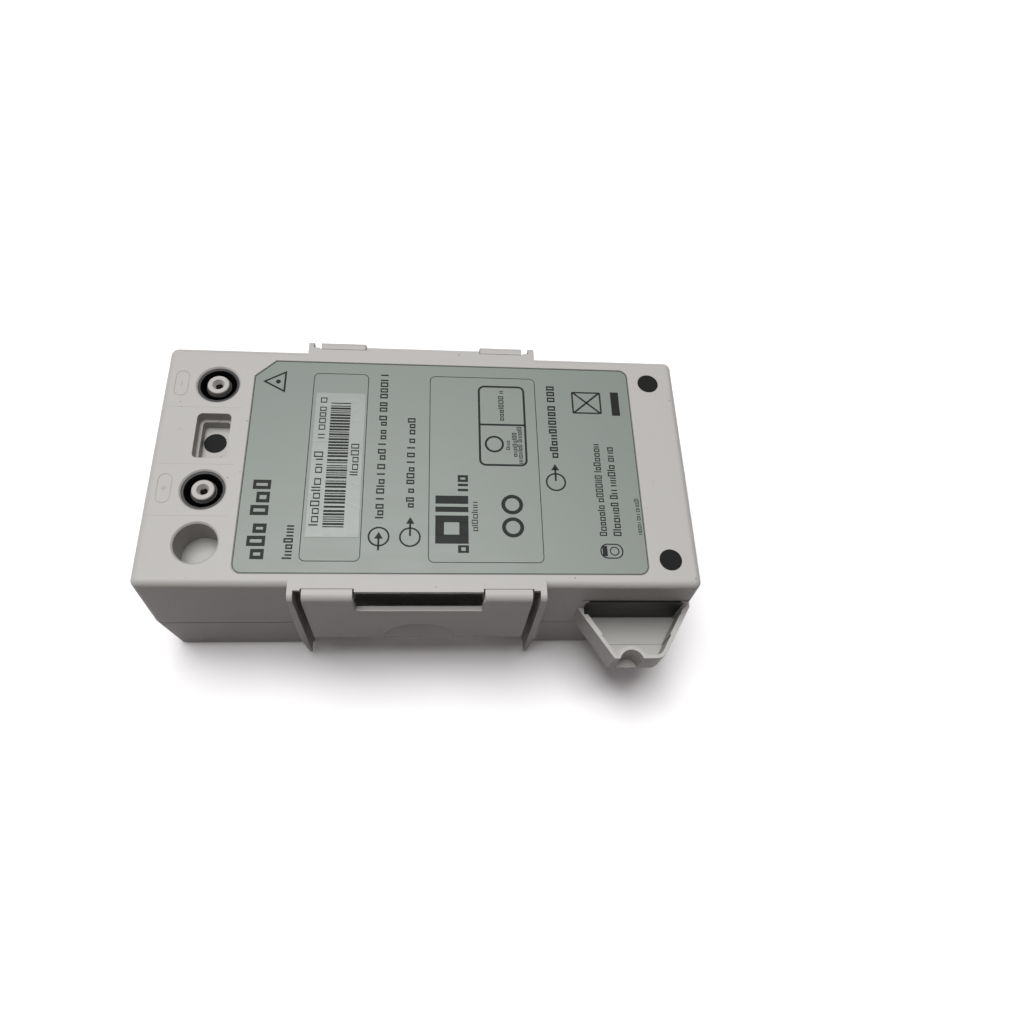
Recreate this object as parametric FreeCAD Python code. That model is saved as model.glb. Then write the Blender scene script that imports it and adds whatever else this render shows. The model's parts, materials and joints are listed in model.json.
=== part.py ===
import FreeCAD, Part
import math
import os

# Snap-in mains power module for a hospital defibrillator and monitor.
#
# Frame, in millimetres: the origin is the middle of the flat back face, +Z points to the label and
# contact face, +X runs from the contact end to the inlet end, and -Y is the side with the open tray.

V = FreeCAD.Vector

BEYOND = 100.0  # reach of a cutting tool that has to pass right through the part
OVERRUN = 1.0   # how far a cutter runs past the face it opens

# --- Housing ------------------------------------------------------------------------------------
HEIGHT = 53.2
SEAM_Z = 23.4
TOP_HALF = (83.3, 41.6)
SEAM_HALF = (84.4, 42.4)
BASE_HALF = (82.6, 41.7)
CORNER_R = 2.4
TOP_EDGE_R = 2.2
BASE_EDGE_R = 1.2
INNER_CORNER_R = 1.2
WALL = 2.4
ROOF = 2.5
FLOOR = 2.5

# Lip of the lower shell that locates inside the upper shell.
TONGUE_GAP = 0.2
TONGUE_T = 1.0
TONGUE_Z = (21.4, 25.0)
TONGUE_R = 1.6

# Shadow line round the seam.
SEAM_GROOVE = (0.3, 0.5)

# --- Latch pods, the same on both long sides (stated for +Y) ------------------------------------
POD_Y = 46.0
POD_EDGE_R = 2.2
POD_ROOT_Y = 38.0
RIB_OUTER = (-39.45, 35.75)
RIB_INNER = (-37.8, 33.9)
RIB_KINK_Z = 18.8
RIB_TIP_Z = 3.2
RIB_SPLAY = 0.55
RIB_TIP_TAPER = 0.9
RIB_STAND_OFF = 0.3
ARM_X = (-35.35, 31.55)
ARM_WALL = 1.7
ARM_BOTTOM_Z = 18.8
HINGE_Y = POD_Y - POD_EDGE_R
HINGE_Z = HEIGHT - POD_EDGE_R
HINGE_GAP = 0.05
KNUCKLE_LAP = 1.2
ROOF_GAP = 0.12
SOCKET_BOTTOM_Z = 47.2
SOCKET_LIP_Y = 43.4
SLOT_INNER_Y = 43.05
SEAT_END_GAP = 0.4
WINDOW_X = (-20.4, 17.0)
WINDOW_LEDGE_Z = 43.8
WINDOW_INNER_Y = 43.5
WINDOW_TAPER = 0.5
WINDOW_ROOF = 1.3
THUMB_X = -1.66
THUMB_Z = 21.3
THUMB_R = 11.0
THUMB_DEPTH = 1.7
THUMB_RAMP = (1.0, 5.0)
THUMB_PAD_R = 12.4
THUMB_PAD_Y = 43.2
POCKET_Y = 39.4
POCKET_WALL_Y = 37.2
POCKET_WALL_X = (RIB_OUTER[0] - 0.8, RIB_OUTER[1] + 0.8)

# --- Contact end ----------------------------------------------------------------------------------
CONTACT_X = -66.7
CONTACT_Y = (27.27, -10.83)
WELL_R = 6.5
WELL_DEPTH = 14.0
WELL_WALL = 1.7
POST_R = 3.4
SOCKET_R = 1.9
SOCKET_BORE_R = 1.1
SOCKET_TOP_Z = HEIGHT - 1.6
SOCKET_TAIL_Z = 31.0
COUNTERSINK_R = 1.9
COLLAR_WALL = 0.8
COLLAR_DROP = 0.6
COLLAR_FLOOR = 1.2
SLEEVE_WALL = 0.5
SLEEVE_DROP = 1.6
SOCKET_BORE_DEPTH = 12.0
SOLDER_CUP = (1.2, 3.0)
POST_EDGE_R = 0.4
POST_FOOT_R = 4.6
POST_FOOT_T = 1.2
WELL_FLOOR = 2.0
POST_GAP = 0.03
LOCATING_Y = -28.3
LOCATING_R = 6.35
LOCATING_DEPTH = 10.5
RIM_CHAMFER = 0.5
RECESS_X = (-71.55, -61.2)
RECESS_Y = (0.15, 16.2)
RECESS_LEDGE = 0.95
RECESS_STEP = 3.7
RECESS_DEPTH = 6.95
RECESS_R = (1.6, 1.2)
RECESS_WALL = 1.8
RECESS_FLOOR = 2.0

# --- Shell screws and their plugs -----------------------------------------------------------------
SCREW_AT = ((-67.0, 9.4), (74.35, 32.1), (74.4, -32.9))
PLUG_R = 3.47
PLUG_T = 4.0
PLUG_BEVEL = 0.6
PLUG_GAP = 0.03
BOSS_R = 4.6
BOSS_JOIN_Z = 25.2
LOWER_BOSS_R = 4.0
PILOT_GAP = 0.02
HEAD_SEAT_Z = 33.0
HEAD_R = 2.8
HEAD_T = 2.2
HEAD_EDGE_R = 0.9
HEAD_CROSS = 1.7
CROSS_HALF = 0.4
CROSS_DEPTH = 1.1
SHANK_R = 1.5
SHANK_CLEARANCE = 0.2
SHANK_TIP_Z = 11.0
PLUG_TOP_Z = (HEIGHT - RECESS_DEPTH, HEIGHT, HEIGHT)

# --- How the upper moulding is shared out into simpler solids that meet face to face ---------------
CONTACT_END_X = -58.3
CONTACT_END_CUTS_Y = (-19.6, -2.1, 18.5)
POD_SHARE_X = (-40.4, 36.7)
TRAY_SHARE_X = (45.0, 90.0)

# --- Label ----------------------------------------------------------------------------------------
LABEL_X = (-55.75, 67.45)
LABEL_Y = (-37.97, 37.33)
LABEL_R = 3.0
LABEL_TIP_R = 0.3
LABEL_CHAMFER = (6.4, 6.2)
LABEL_SINK = 0.30
LABEL_T = 0.25
LABEL_GAP = 0.1
STICKER_X = (-35.6, -20.0)
STICKER_Y = (-26.2, 25.0)
STICKER_T = 0.10

# --- Side tray and the port behind it -------------------------------------------------------------
TRAY_ROOT_X = (47.3, 84.4)
TRAY_END_X = (58.3, 73.9)
TRAY_ROOT_Y = -41.4
TRAY_END_Y = -58.6
TRAY_RIM_Z = 35.9
TRAY_BOTTOM_Z = 24.2
TRAY_FLOOR = 1.7
TRAY_WALL = 1.6
TRAY_TIP_WALL = 1.25
TRAY_STEP_Y = -51.0
TRAY_STEP = 0.15
TRAY_INSIDE_Y = -40.3
TRAY_LIMIT_X = 84.2
TRAY_CORNER_R = 4.0
TRAY_SHARP_R = 0.8
TRAY_EDGE_R = 1.2
GROOVE_AT = (63.8, -59.6)
GROOVE_R = 3.8
GROOVE_WALL = 1.25
GROOVE_BLEND_R = 2.0
PORT_X = (49.8, 81.2)
PORT_TOP_Z = 40.5
PORT_R = 1.2
PORT_CUT_Y = (-38.0, -44.2)
COVER_GAP = 0.15
COVER_Y = (-37.6, -38.9, -41.9)
COVER_FLANGE = 2.0
COVER_FLANGE_X = 79.2
BROW_X = (48.6, 82.2)
BROW_TOP_Z = 48.2
BROW_DEPTH = 1.0
BROW_R = 5.0

# --- Mains inlet ----------------------------------------------------------------------------------
INLET_FACE_X = 81.6
LANDING_X = 81.3
INLET_Z = 12.2
INLET_GAP = 0.1
INLET_HALF = (13.7, 9.9)
INLET_BACK_X = 60.0
INLET_CAVITY_HALF = (12.2, 8.2)
INLET_CAVITY_DEPTH = 17.0
INLET_CHAMFER = 4.2
INLET_FLANGE_HALF = (15.6, 9.6)
INLET_FLANGE_BACK = (4.4, 2.7)
LANDING_HALF_Y = 16.0
LANDING_WALL = 2.6
LANDING_WALL_HALF_Y = 18.0
LANDING_LOW = 10.7
BLADE_PITCH = 7.0
BLADE_OFFSET_Z = 2.0
BLADE_HALF = (1.0, 2.0)
BLADE_STAND = 15.5
TAB_LENGTH = 7.0
BLADE_BEVEL = 0.6

# --- Main board and what stands on it -------------------------------------------------------------
BOARD_X = (-58.0, 46.0)
BOARD_HALF_Y = 34.0
BOARD_Z = 9.0
BOARD_T = 1.6
BOARD_TOP = BOARD_Z + BOARD_T
BOARD_SCREWS = ((-54.0, 29.5), (-54.0, -29.5), (42.0, 29.5), (42.0, -29.5))
STANDOFF_R = 3.4
STANDOFF_PILOT_R = 1.27
BOARD_HOLE_R = 1.6
BOARD_HEAD = (2.7, 1.9, 1.5)
BOARD_SHANK = (1.25, 5.0)
SHEET_HALF_Y = 34.5
SHEET_T = 0.4

# Parts on the board. Heights and stand-offs here are measured from the top of the board.
FUSE_Y = (14.0, 21.5)
FUSE_X = (24.0, 44.0)
FUSE_AXIS = 5.0
FUSE_R = 2.3
FUSE_CAP = (2.6, 5.5)
CLIP_X = (24.7, 39.2)
CLIP_L = 4.0
CLIP_R = (2.62, 3.1)
CLIP_MOUTH = (2.2, 6.2)
CLIP_FOOT = (2.0, 2.35, 2.8)
FILM_HALF_X = 5.0
FILM_HEIGHT = 17.0
FILM_R = 0.8
FILM_AT = ((16.5, -13.0, 8.0), (16.5, 3.0, 6.5))
DISC_STAND = 1.5
DISC_LEG = (0.4, 3.6)
DISC_EDGE = 0.3
VARISTOR = (41.0, -16.5, 6.0, 4.2)
THERMISTOR = (34.0, -16.5, 5.0, 4.0)
WIRE_D = 1.3
WIRE_GAP = 0.02
CHOKE = dict(x=31.5, y=0.0, inner=5.2, outer=9.0, height=8.0, low=BOARD_TOP + 1.5)
OUTPUT_CHOKE = dict(x=-36.0, y=22.0, inner=4.6, outer=8.0, height=8.0, low=BOARD_TOP + 1.5)
BRIDGE_X = (15.0, 35.0)
BRIDGE_Y = (-31.1, -27.6)
BRIDGE_RISE = (5.0, 20.0)
BRIDGE_LEGS = (17.5, 5.0, 4)
BRIDGE_LEG = (0.5, -29.4)
BULK_R = 10.5
BULK_X = (-6.0, 20.0)
BULK_Y = 21.0
BULK_GROOVE = (2.4, 1.2, 0.7)
SINK_HEIGHT = 24.0
SINK_T = 2.0
FIN_PITCH = 6.0
FIN_T = 1.2
FIN_REACH = 3.0
FIN_FOOT = 6.0
PRIMARY_SINK = ((-22.0, 36.0), -27.5)
SECONDARY_SINK = ((-52.0, -32.0), -8.0)
SINK_GAP = 0.1
DEVICE_HALF = 5.0
DEVICE_T = 4.2
DEVICE_RISE = (6.0, 15.5, 21.5)
DEVICE_TAB_T = 1.3
DEVICE_LEAD = (2.54, 0.4, 2.2, 2.8)
TRANSISTOR_X = (-15.0, 3.0)
RECTIFIER_X = (-47.0, -35.5)
TRANSFORMER_AT = (-13.0, -8.0)
TRANSFORMER_LOW = BOARD_TOP + 3.0
CORE_HALF = (15.0, 5.0)
CORE_HEIGHT = 25.0
CORE_WINDOW_X = (4.8, 10.5)
CORE_WINDOW_Z = (4.5, 20.5)
BOBBIN_GAP = 0.05
BOBBIN_HUB = (6.0, 6.3)
BOBBIN_Z = (4.6, 20.4)
BOBBIN_CHEEK = (10.3, 11.0, 1.2)
BOBBIN_FOOT = (14.0, 7.0, 11.0)
WINDING_HALF = (10.0, 10.6)
WINDING_R = 3.5
CAN_R = 5.0
CAN_HEIGHT = 22.0
CAN_EDGE_R = 0.8
CAN_GROOVE = (0.5, 2.2, 3.2)
CAN_AT = ((-50.0, 6.0), (-38.5, 6.0), (-51.5, 17.0))
CONTROLLER_X = (-28.5, -27.3)
CONTROLLER_Y = (-33.0, -20.0)
CONTROLLER_HEIGHT = 16.0
CONTROLLER_CHIP = (-27.25, -26.5, 9.0)
CONTROLLER_CHIP_SIZE = (2.0, 5.0, 3.0)
COUPLER_AT = ((-40.0, -20.0), (-40.0, -27.0))
COUPLER_SIZE = (3.2, 2.3, 3.4)

# --- Internal wiring: landing Y of each lead on the board, and the way it is led -------------------
LINE_LANDING_Y = -9.0
NEUTRAL_LANDING_Y = 9.0
EARTH_LANDING_Y = 1.5
MAINS_LEAD_R = 0.9
MAINS_LEAD_STEPS = (2.5, 4.5, 9.5)
MAINS_LEAD_CREST = 5.5
OUTPUT_LEAD_R = 1.15
OUTPUT_LANDING_X = -53.5
OUTPUT_BEND_X = -59.0
OUTPUT_LEAD_RISE = (6.0, 12.0)
OUTPUT_LEAD_DROP = 4.0
POSITIVE_LANDING_Y = -16.0
NEGATIVE_LANDING_Y = 24.0


# --- Helpers --------------------------------------------------------------------------------------
def box(x, y, z):
    """Box between the low and high value on each axis."""
    corner = V(min(x), min(y), min(z))
    return Part.makeBox(abs(x[1] - x[0]), abs(y[1] - y[0]), abs(z[1] - z[0]), corner)


def rod(radius, start, axis, length):
    """Cylinder from start along axis."""
    return Part.makeCylinder(radius, length, V(*start), V(*axis))


def disc(radius, x, y, z):
    """Upright cylinder at x, y between two heights."""
    return rod(radius, (x, y, z[0]), (0, 0, 1), z[1] - z[0])


def tube(outer, inner, x, y, z):
    """Upright tube at x, y between two heights."""
    return disc(outer, x, y, z).cut(disc(inner, x, y, (z[0] - 1, z[1] + 1)))


def rounded_wire(x, y, radii, z):
    """Flat rectangle outline with one radius for each corner, from the low corner anticlockwise."""
    x0, x1 = x
    y0, y1 = y
    corners = ((x0, y0, 1, 1), (x1, y0, -1, 1), (x1, y1, -1, -1), (x0, y1, 1, -1))
    first_turn = (180, 270, 0, 90)
    ends = []
    edges = []
    for (cx, cy, sx, sy), radius, turn in zip(corners, radii, first_turn):
        centre = V(cx + sx * radius, cy + sy * radius, z)
        headings = [math.radians(turn + step) for step in (0, 45, 90)]
        arc = [centre + V(radius * math.cos(a), radius * math.sin(a), 0) for a in headings]
        ends.append(arc)
    for index, arc in enumerate(ends):
        edges.append(Part.Arc(*arc).toShape())
        edges.append(Part.makeLine(arc[2], ends[(index + 1) % 4][0]))
    return Part.Wire(edges)


def rounded_box(x, y, z, radius):
    """Upright box with rounded vertical edges."""
    face = Part.Face(rounded_wire(x, y, (radius,) * 4, z[0]))
    return face.extrude(V(0, 0, z[1] - z[0]))


def tapered_box(low_half, low_z, high_half, high_z, radius):
    """Centred box with rounded vertical edges whose size changes from one height to the other."""
    sections = []
    for half, z in ((low_half, low_z), (high_half, high_z)):
        sections.append(rounded_wire((-half[0], half[0]), (-half[1], half[1]), (radius,) * 4, z))
    return Part.makeLoft(sections, True, True)


def prism(points, direction):
    """Solid swept from a closed polygon along a vector."""
    corners = [V(*p) for p in points]
    return Part.Face(Part.makePolygon(corners + corners[:1])).extrude(V(*direction))


def grow(half, amount):
    """Half sizes made larger or smaller by the same amount."""
    return (half[0] + amount, half[1] + amount)


def edges_at_z(shape, z):
    """Edges that lie wholly at one height."""
    return [e for e in shape.Edges if all(abs(v.Z - z) < 1e-4 for v in e.Vertexes)]


def union(shapes):
    """All shapes as one."""
    first, *rest = shapes
    return first.multiFuse(rest).removeSplitter() if rest else first


def group(shapes):
    """Separate solids kept in one node."""
    return Part.makeCompound(shapes)


def both_sides(shape):
    """A shape of the +Y side with its mirror image."""
    return [shape, across(shape)]


def across(shape):
    """The mirror image on the -Y side."""
    return shape.mirror(V(0, 0, 0), V(0, 1, 0))


def lead(points, radius):
    """Insulated wire: straight runs joined by tangent arcs as large as the runs allow."""
    corners = [V(*p) for p in points]
    edges = []
    start = corners[0]
    for before, corner, after in zip(corners, corners[1:], corners[2:]):
        towards = (before - corner)
        onwards = (after - corner)
        reach = 0.45 * min(towards.Length, onwards.Length)
        towards.normalize()
        onwards.normalize()
        first = corner + towards * reach
        last = corner + onwards * reach
        half_turn = (math.pi - towards.getAngle(onwards)) / 2
        bend = reach / math.tan(half_turn)
        inward = (towards + onwards)
        inward.normalize()
        middle = corner + inward * (bend / math.cos(half_turn) - bend)
        edges.append(Part.makeLine(start, first))
        edges.append(Part.Arc(first, middle, last).toShape())
        start = last
    edges.append(Part.makeLine(start, corners[-1]))
    path = Part.Wire(edges)
    section = Part.Wire([Part.makeCircle(radius, corners[0], corners[1] - corners[0])])
    return path.makePipeShell([section], True, False)


# --- Outer forms shared by the two shells -----------------------------------------------------------
def upper_outer():
    """Outside of the upper shell with its rounded top edge."""
    form = tapered_box(SEAM_HALF, SEAM_Z, TOP_HALF, HEIGHT, CORNER_R)
    return form.makeFillet(TOP_EDGE_R, edges_at_z(form, HEIGHT))


def lower_outer(extra=0.0):
    """Outside of the lower shell, which draws in towards the back face."""
    form = tapered_box(grow(BASE_HALF, extra), 0, grow(SEAM_HALF, extra), SEAM_Z, CORNER_R)
    return form.makeFillet(BASE_EDGE_R, edges_at_z(form, 0))


def pocket_limits(y_start):
    """Both strips beyond a given side distance where the latch arms need room."""
    return both_sides(box(RIB_INNER, (y_start, BEYOND), (-OVERRUN, SOCKET_BOTTOM_Z)))


def pocket_walls():
    """Strips that stay solid behind the latch pockets."""
    return both_sides(box(POCKET_WALL_X, (POCKET_WALL_Y, BEYOND), (-OVERRUN, HEIGHT + OVERRUN)))


def screw_cutter(x, y, top_z):
    """Stepped hole for a plug, a screw head and its shank."""
    plug = disc(PLUG_R + PLUG_GAP, x, y, (HEAD_SEAT_Z, top_z + RECESS_DEPTH))
    shank = disc(SHANK_R + SHANK_CLEARANCE, x, y, (BOSS_JOIN_Z - OVERRUN, HEAD_SEAT_Z + OVERRUN))
    return plug.fuse(shank)


# --- Latch pods -------------------------------------------------------------------------------------
def pod_form(x, y_in, z_low):
    """Bar with the outer profile of the pods: flat top, rounded outer edge, upright outer face."""
    low = V(x[0], POD_Y, z_low)
    side = V(x[0], POD_Y, HINGE_Z)
    slant = POD_EDGE_R * math.sqrt(0.5)
    mid = V(x[0], HINGE_Y + slant, HINGE_Z + slant)
    top = V(x[0], HINGE_Y, HEIGHT)
    back = V(x[0], y_in, HEIGHT)
    foot = V(x[0], y_in, z_low)
    edges = [Part.makeLine(low, side), Part.Arc(side, mid, top).toShape(), Part.makeLine(top, back),
             Part.makeLine(back, foot), Part.makeLine(foot, low)]
    return Part.Face(Part.Wire(edges)).extrude(V(x[1] - x[0], 0, 0))


def guard_rib(outer_x, inner_x):
    """Fin beside the latch arm: it splays a little down to the kink, then tapers to its tip."""
    out = math.copysign(1, outer_x - inner_x)
    profile = [(outer_x, 0, HEIGHT + OVERRUN), (outer_x + out * RIB_SPLAY, 0, RIB_KINK_Z),
               (outer_x - out * RIB_TIP_TAPER, 0, RIB_TIP_Z), (inner_x, 0, RIB_TIP_Z),
               (inner_x, 0, HEIGHT + OVERRUN)]
    fin = prism(profile, (0, BEYOND, 0))
    wide = (min(outer_x, inner_x) - OVERRUN, max(outer_x, inner_x) + OVERRUN)
    return fin.common(pod_form(wide, POD_ROOT_Y, RIB_TIP_Z)).cut(lower_outer(RIB_STAND_OFF))


def hinge_zones():
    """The two stretches along X where the latch arm turns in the pod roof."""
    return ((ARM_X[0], WINDOW_X[0] - WINDOW_TAPER), (WINDOW_X[1] + WINDOW_TAPER, ARM_X[1]))


def knuckle(x, extra=0.0):
    """Rounded root of a latch arm leg, concentric with the outer edge of the pod."""
    barrel = rod(POD_EDGE_R + extra, (x[0], HINGE_Y, HINGE_Z), (1, 0, 0), x[1] - x[0])
    lap_y = HINGE_Y - KNUCKLE_LAP - (ROOF_GAP if extra else 0)
    lap = box(x, (lap_y, HINGE_Y), (HINGE_Z, HEIGHT + (OVERRUN if extra else 0)))
    return barrel.fuse(lap)


def pod():
    """Fixed part of a latch pod before the hinge seats are cut: roof and two guard ribs."""
    roof = pod_form(RIB_INNER, POD_ROOT_Y, SOCKET_BOTTOM_Z)
    low = SOCKET_BOTTOM_Z - OVERRUN
    roof = roof.cut(box(RIB_INNER, (WINDOW_INNER_Y, BEYOND), (low, HEIGHT + OVERRUN)))
    ribs = [guard_rib(outer, inner) for outer, inner in zip(RIB_OUTER, RIB_INNER)]
    return union([roof] + ribs)


def hinge_room():
    """Space for the arm roots and the slots beside them, cut from the finished wall and pod."""
    low = SOCKET_BOTTOM_Z - OVERRUN
    rooms = []
    for x in hinge_zones():
        wide = (x[0] - SEAT_END_GAP, x[1] + SEAT_END_GAP)
        rooms.append(knuckle(wide, HINGE_GAP))
        rooms.append(box(wide, (SOCKET_LIP_Y, BEYOND), (low, HINGE_Z)))
    slots = ((RIB_INNER[0], ARM_X[0]), (ARM_X[1], RIB_INNER[1]))
    for slot in slots:
        rooms.append(box(slot, (SLOT_INNER_Y, BEYOND), (low, HEIGHT + OVERRUN)))
    for gap in slots + (WINDOW_X,):
        rooms.append(box(gap, (POCKET_Y, BEYOND), (low, HEIGHT - WINDOW_ROOF)))
    return rooms


def latch_arm():
    """Pressed plate of the +Y latch: two legs, the catch window, the thumb recess."""
    plate = box(ARM_X, (POD_Y - ARM_WALL, POD_Y), (ARM_BOTTOM_Z, HINGE_Z))
    legs = [knuckle(x) for x in hinge_zones()]
    pad = rod(THUMB_PAD_R, (THUMB_X, THUMB_PAD_Y, THUMB_Z), (0, 1, 0), POD_Y - THUMB_PAD_Y)
    pad = pad.common(box(ARM_X, (0, BEYOND), (ARM_BOTTOM_Z, HEIGHT)))
    arm = union([plate, pad] + legs)
    top_x = (WINDOW_X[0] - WINDOW_TAPER, WINDOW_X[1] + WINDOW_TAPER)
    window = prism([(WINDOW_X[0], 0, WINDOW_LEDGE_Z), (WINDOW_X[1], 0, WINDOW_LEDGE_Z),
                    (top_x[1], 0, HEIGHT + OVERRUN), (top_x[0], 0, HEIGHT + OVERRUN)], (0, BEYOND, 0))
    top_z = THUMB_Z + THUMB_R
    step_y, step_z = THUMB_RAMP
    profile = [(POD_Y, ARM_BOTTOM_Z), (POD_Y + step_y, ARM_BOTTOM_Z - step_z),
               (POD_Y + step_y, top_z + OVERRUN), (POD_Y - THUMB_DEPTH, top_z + OVERRUN),
               (POD_Y - THUMB_DEPTH, top_z)]
    scoop = prism([(ARM_X[0], y, z) for y, z in profile], (ARM_X[1] - ARM_X[0], 0, 0))
    scoop = scoop.common(rod(THUMB_R, (THUMB_X, 0, THUMB_Z), (0, 1, 0), BEYOND))
    return arm.cut(window).cut(scoop).removeSplitter()


# --- Side tray --------------------------------------------------------------------------------------
def tray_plan(inset, z, depth):
    """Tapering plan of the tray, drawn in by the wall thickness, as an upright solid."""
    end_y = TRAY_END_Y + inset
    root_y = TRAY_INSIDE_Y
    corners = []
    for root_x, end_x, side in zip(TRAY_ROOT_X, TRAY_END_X, (1, -1)):
        wall_y = TRAY_ROOT_Y
        lean = (end_x - root_x) / (TRAY_END_Y - wall_y)
        shift = side * inset * math.sqrt(1 + lean * lean)
        corners.append((root_x + lean * (root_y - wall_y) + shift, root_y))
        corners.append((root_x + lean * (end_y - wall_y) + shift, end_y))
    (ax, ay), (bx, by), (dx, dy), (cx, cy) = corners
    plan = prism([(ax, ay, z), (bx, by, z), (cx, cy, z), (dx, dy, z)], (0, 0, depth))
    for x, radius in ((bx, TRAY_SHARP_R), (cx, TRAY_CORNER_R - inset)):
        upright = [e for e in plan.Edges
                   if all(abs(v.X - x) < 1e-4 and abs(v.Y - end_y) < 1e-4 for v in e.Vertexes)]
        plan = plan.makeFillet(radius, upright)
    return plan.common(box((0, TRAY_LIMIT_X - inset), (-BEYOND, 0), (0, HEIGHT)))


def tray():
    """Open tray on the -Y side with a half-round groove down its end wall."""
    depth = TRAY_RIM_Z - TRAY_BOTTOM_Z
    shell = tray_plan(0, TRAY_BOTTOM_Z, depth)
    rim = [e for e in edges_at_z(shell, TRAY_BOTTOM_Z) if e.BoundBox.YMin < TRAY_ROOT_Y]
    shell = shell.makeFillet(TRAY_EDGE_R, rim)
    floor_z = TRAY_BOTTOM_Z + TRAY_FLOOR
    tip = tray_plan(TRAY_TIP_WALL, floor_z - TRAY_STEP, depth)
    tip = tip.common(box((0, BEYOND), (-BEYOND, TRAY_STEP_Y), (0, HEIGHT)))
    hollow = tray_plan(TRAY_WALL, floor_z, depth).fuse(tip)
    bulge_r = GROOVE_R + GROOVE_WALL
    hollow = hollow.cut(disc(bulge_r, *GROOVE_AT, (TRAY_BOTTOM_Z, HEIGHT))).removeSplitter()
    meet_y = TRAY_END_Y + TRAY_TIP_WALL
    meet_x = GROOVE_AT[0] + math.sqrt(bulge_r ** 2 - (meet_y - GROOVE_AT[1]) ** 2)
    corner = [e for e in hollow.Edges
              if all(math.hypot(v.X - meet_x, v.Y - meet_y) < 1e-3 for v in e.Vertexes)]
    hollow = hollow.makeFillet(GROOVE_BLEND_R, corner)
    groove = disc(GROOVE_R, *GROOVE_AT, (floor_z, TRAY_RIM_Z + OVERRUN))
    return shell.cut(hollow).cut(groove).removeSplitter()


def port_plan(extra, y):
    """Opening in the side wall behind the tray, with rounded upper corners."""
    x = (PORT_X[0] - extra, PORT_X[1] + extra)
    z = (TRAY_BOTTOM_Z + TRAY_FLOOR - extra, PORT_TOP_Z + extra)
    block = box(x, y, z)
    uppers = [e for e in edges_at_z(block, z[1]) if abs(e.Vertexes[0].Y - e.Vertexes[1].Y) > 1]
    return block.makeFillet(PORT_R, uppers)


def port_brow():
    """Shallow scoop in the side wall over the port, deepest at the port's upper edge."""
    outline = box(BROW_X, (-BEYOND, 0), (PORT_TOP_Z, BROW_TOP_Z))
    uppers = [e for e in edges_at_z(outline, BROW_TOP_Z) if abs(e.Vertexes[0].Y - e.Vertexes[1].Y) > 1]
    outline = outline.makeFillet(BROW_R, uppers)
    face_y = -SEAM_HALF[1]
    x = BROW_X[0]
    ramp = [(x, face_y, BROW_TOP_Z + OVERRUN), (x, face_y - OVERRUN, PORT_TOP_Z),
            (x, face_y + BROW_DEPTH, PORT_TOP_Z)]
    return prism(ramp, (BROW_X[1] - x, 0, 0)).common(outline)


# --- Upper shell ------------------------------------------------------------------------------------
def well_cutter(radius, x, y, depth):
    """Round well from the top face with a small chamfer at its rim."""
    hole = disc(radius, x, y, (HEIGHT - depth, HEIGHT + OVERRUN))
    reach = RIM_CHAMFER + OVERRUN
    return hole.fuse(Part.makeCone(radius, radius + reach, reach, V(x, y, HEIGHT - RIM_CHAMFER)))


def label_plan(inset, z, depth):
    """Label outline: three rounded corners and one cut corner."""
    x = (LABEL_X[0] + inset, LABEL_X[1] - inset)
    y = (LABEL_Y[0] + inset, LABEL_Y[1] - inset)
    radii = (LABEL_R, LABEL_R, LABEL_R, LABEL_TIP_R)
    sheet = Part.Face(rounded_wire(x, y, radii, z)).extrude(V(0, 0, depth))
    cut_x, cut_y = LABEL_CHAMFER
    slope = cut_y / cut_x
    low = z - OVERRUN
    corner = [(x[0] - 1, y[1] - cut_y - slope, low), (x[0] + cut_x + 1, y[1] + slope, low),
              (x[0] - 1, y[1] + cut_y, low)]
    return sheet.cut(prism(corner, (0, 0, depth + 2 * OVERRUN)))


def contact_recess():
    """Two-step rectangular recess between the contacts."""
    outer_r, inner_r = RECESS_R
    upper = rounded_box(RECESS_X, RECESS_Y, (HEIGHT - RECESS_STEP, HEIGHT + OVERRUN), outer_r)
    inner_x = (RECESS_X[0] + RECESS_LEDGE, RECESS_X[1] - RECESS_LEDGE)
    inner_y = (RECESS_Y[0] + RECESS_LEDGE, RECESS_Y[1] - RECESS_LEDGE)
    return upper.fuse(rounded_box(inner_x, inner_y, (HEIGHT - RECESS_DEPTH, HEIGHT), inner_r))


def contact_post(y):
    """Insulating sleeve round a contact socket, flush with the top face and footed under the well."""
    foot_z = HEIGHT - WELL_DEPTH - WELL_FLOOR
    post = disc(POST_R, CONTACT_X, y, (foot_z - POST_FOOT_T, HEIGHT))
    post = post.makeFillet(POST_EDGE_R, edges_at_z(post, HEIGHT))
    post = post.fuse(disc(POST_FOOT_R, CONTACT_X, y, (foot_z - POST_FOOT_T, foot_z)))
    bore = disc(SOCKET_R, CONTACT_X, y, (0, SOCKET_TOP_Z))
    mouth = V(CONTACT_X, y, SOCKET_TOP_Z)
    return post.cut(bore).cut(Part.makeCone(SOCKET_BORE_R, COUNTERSINK_R, HEIGHT - SOCKET_TOP_Z, mouth))


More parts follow.
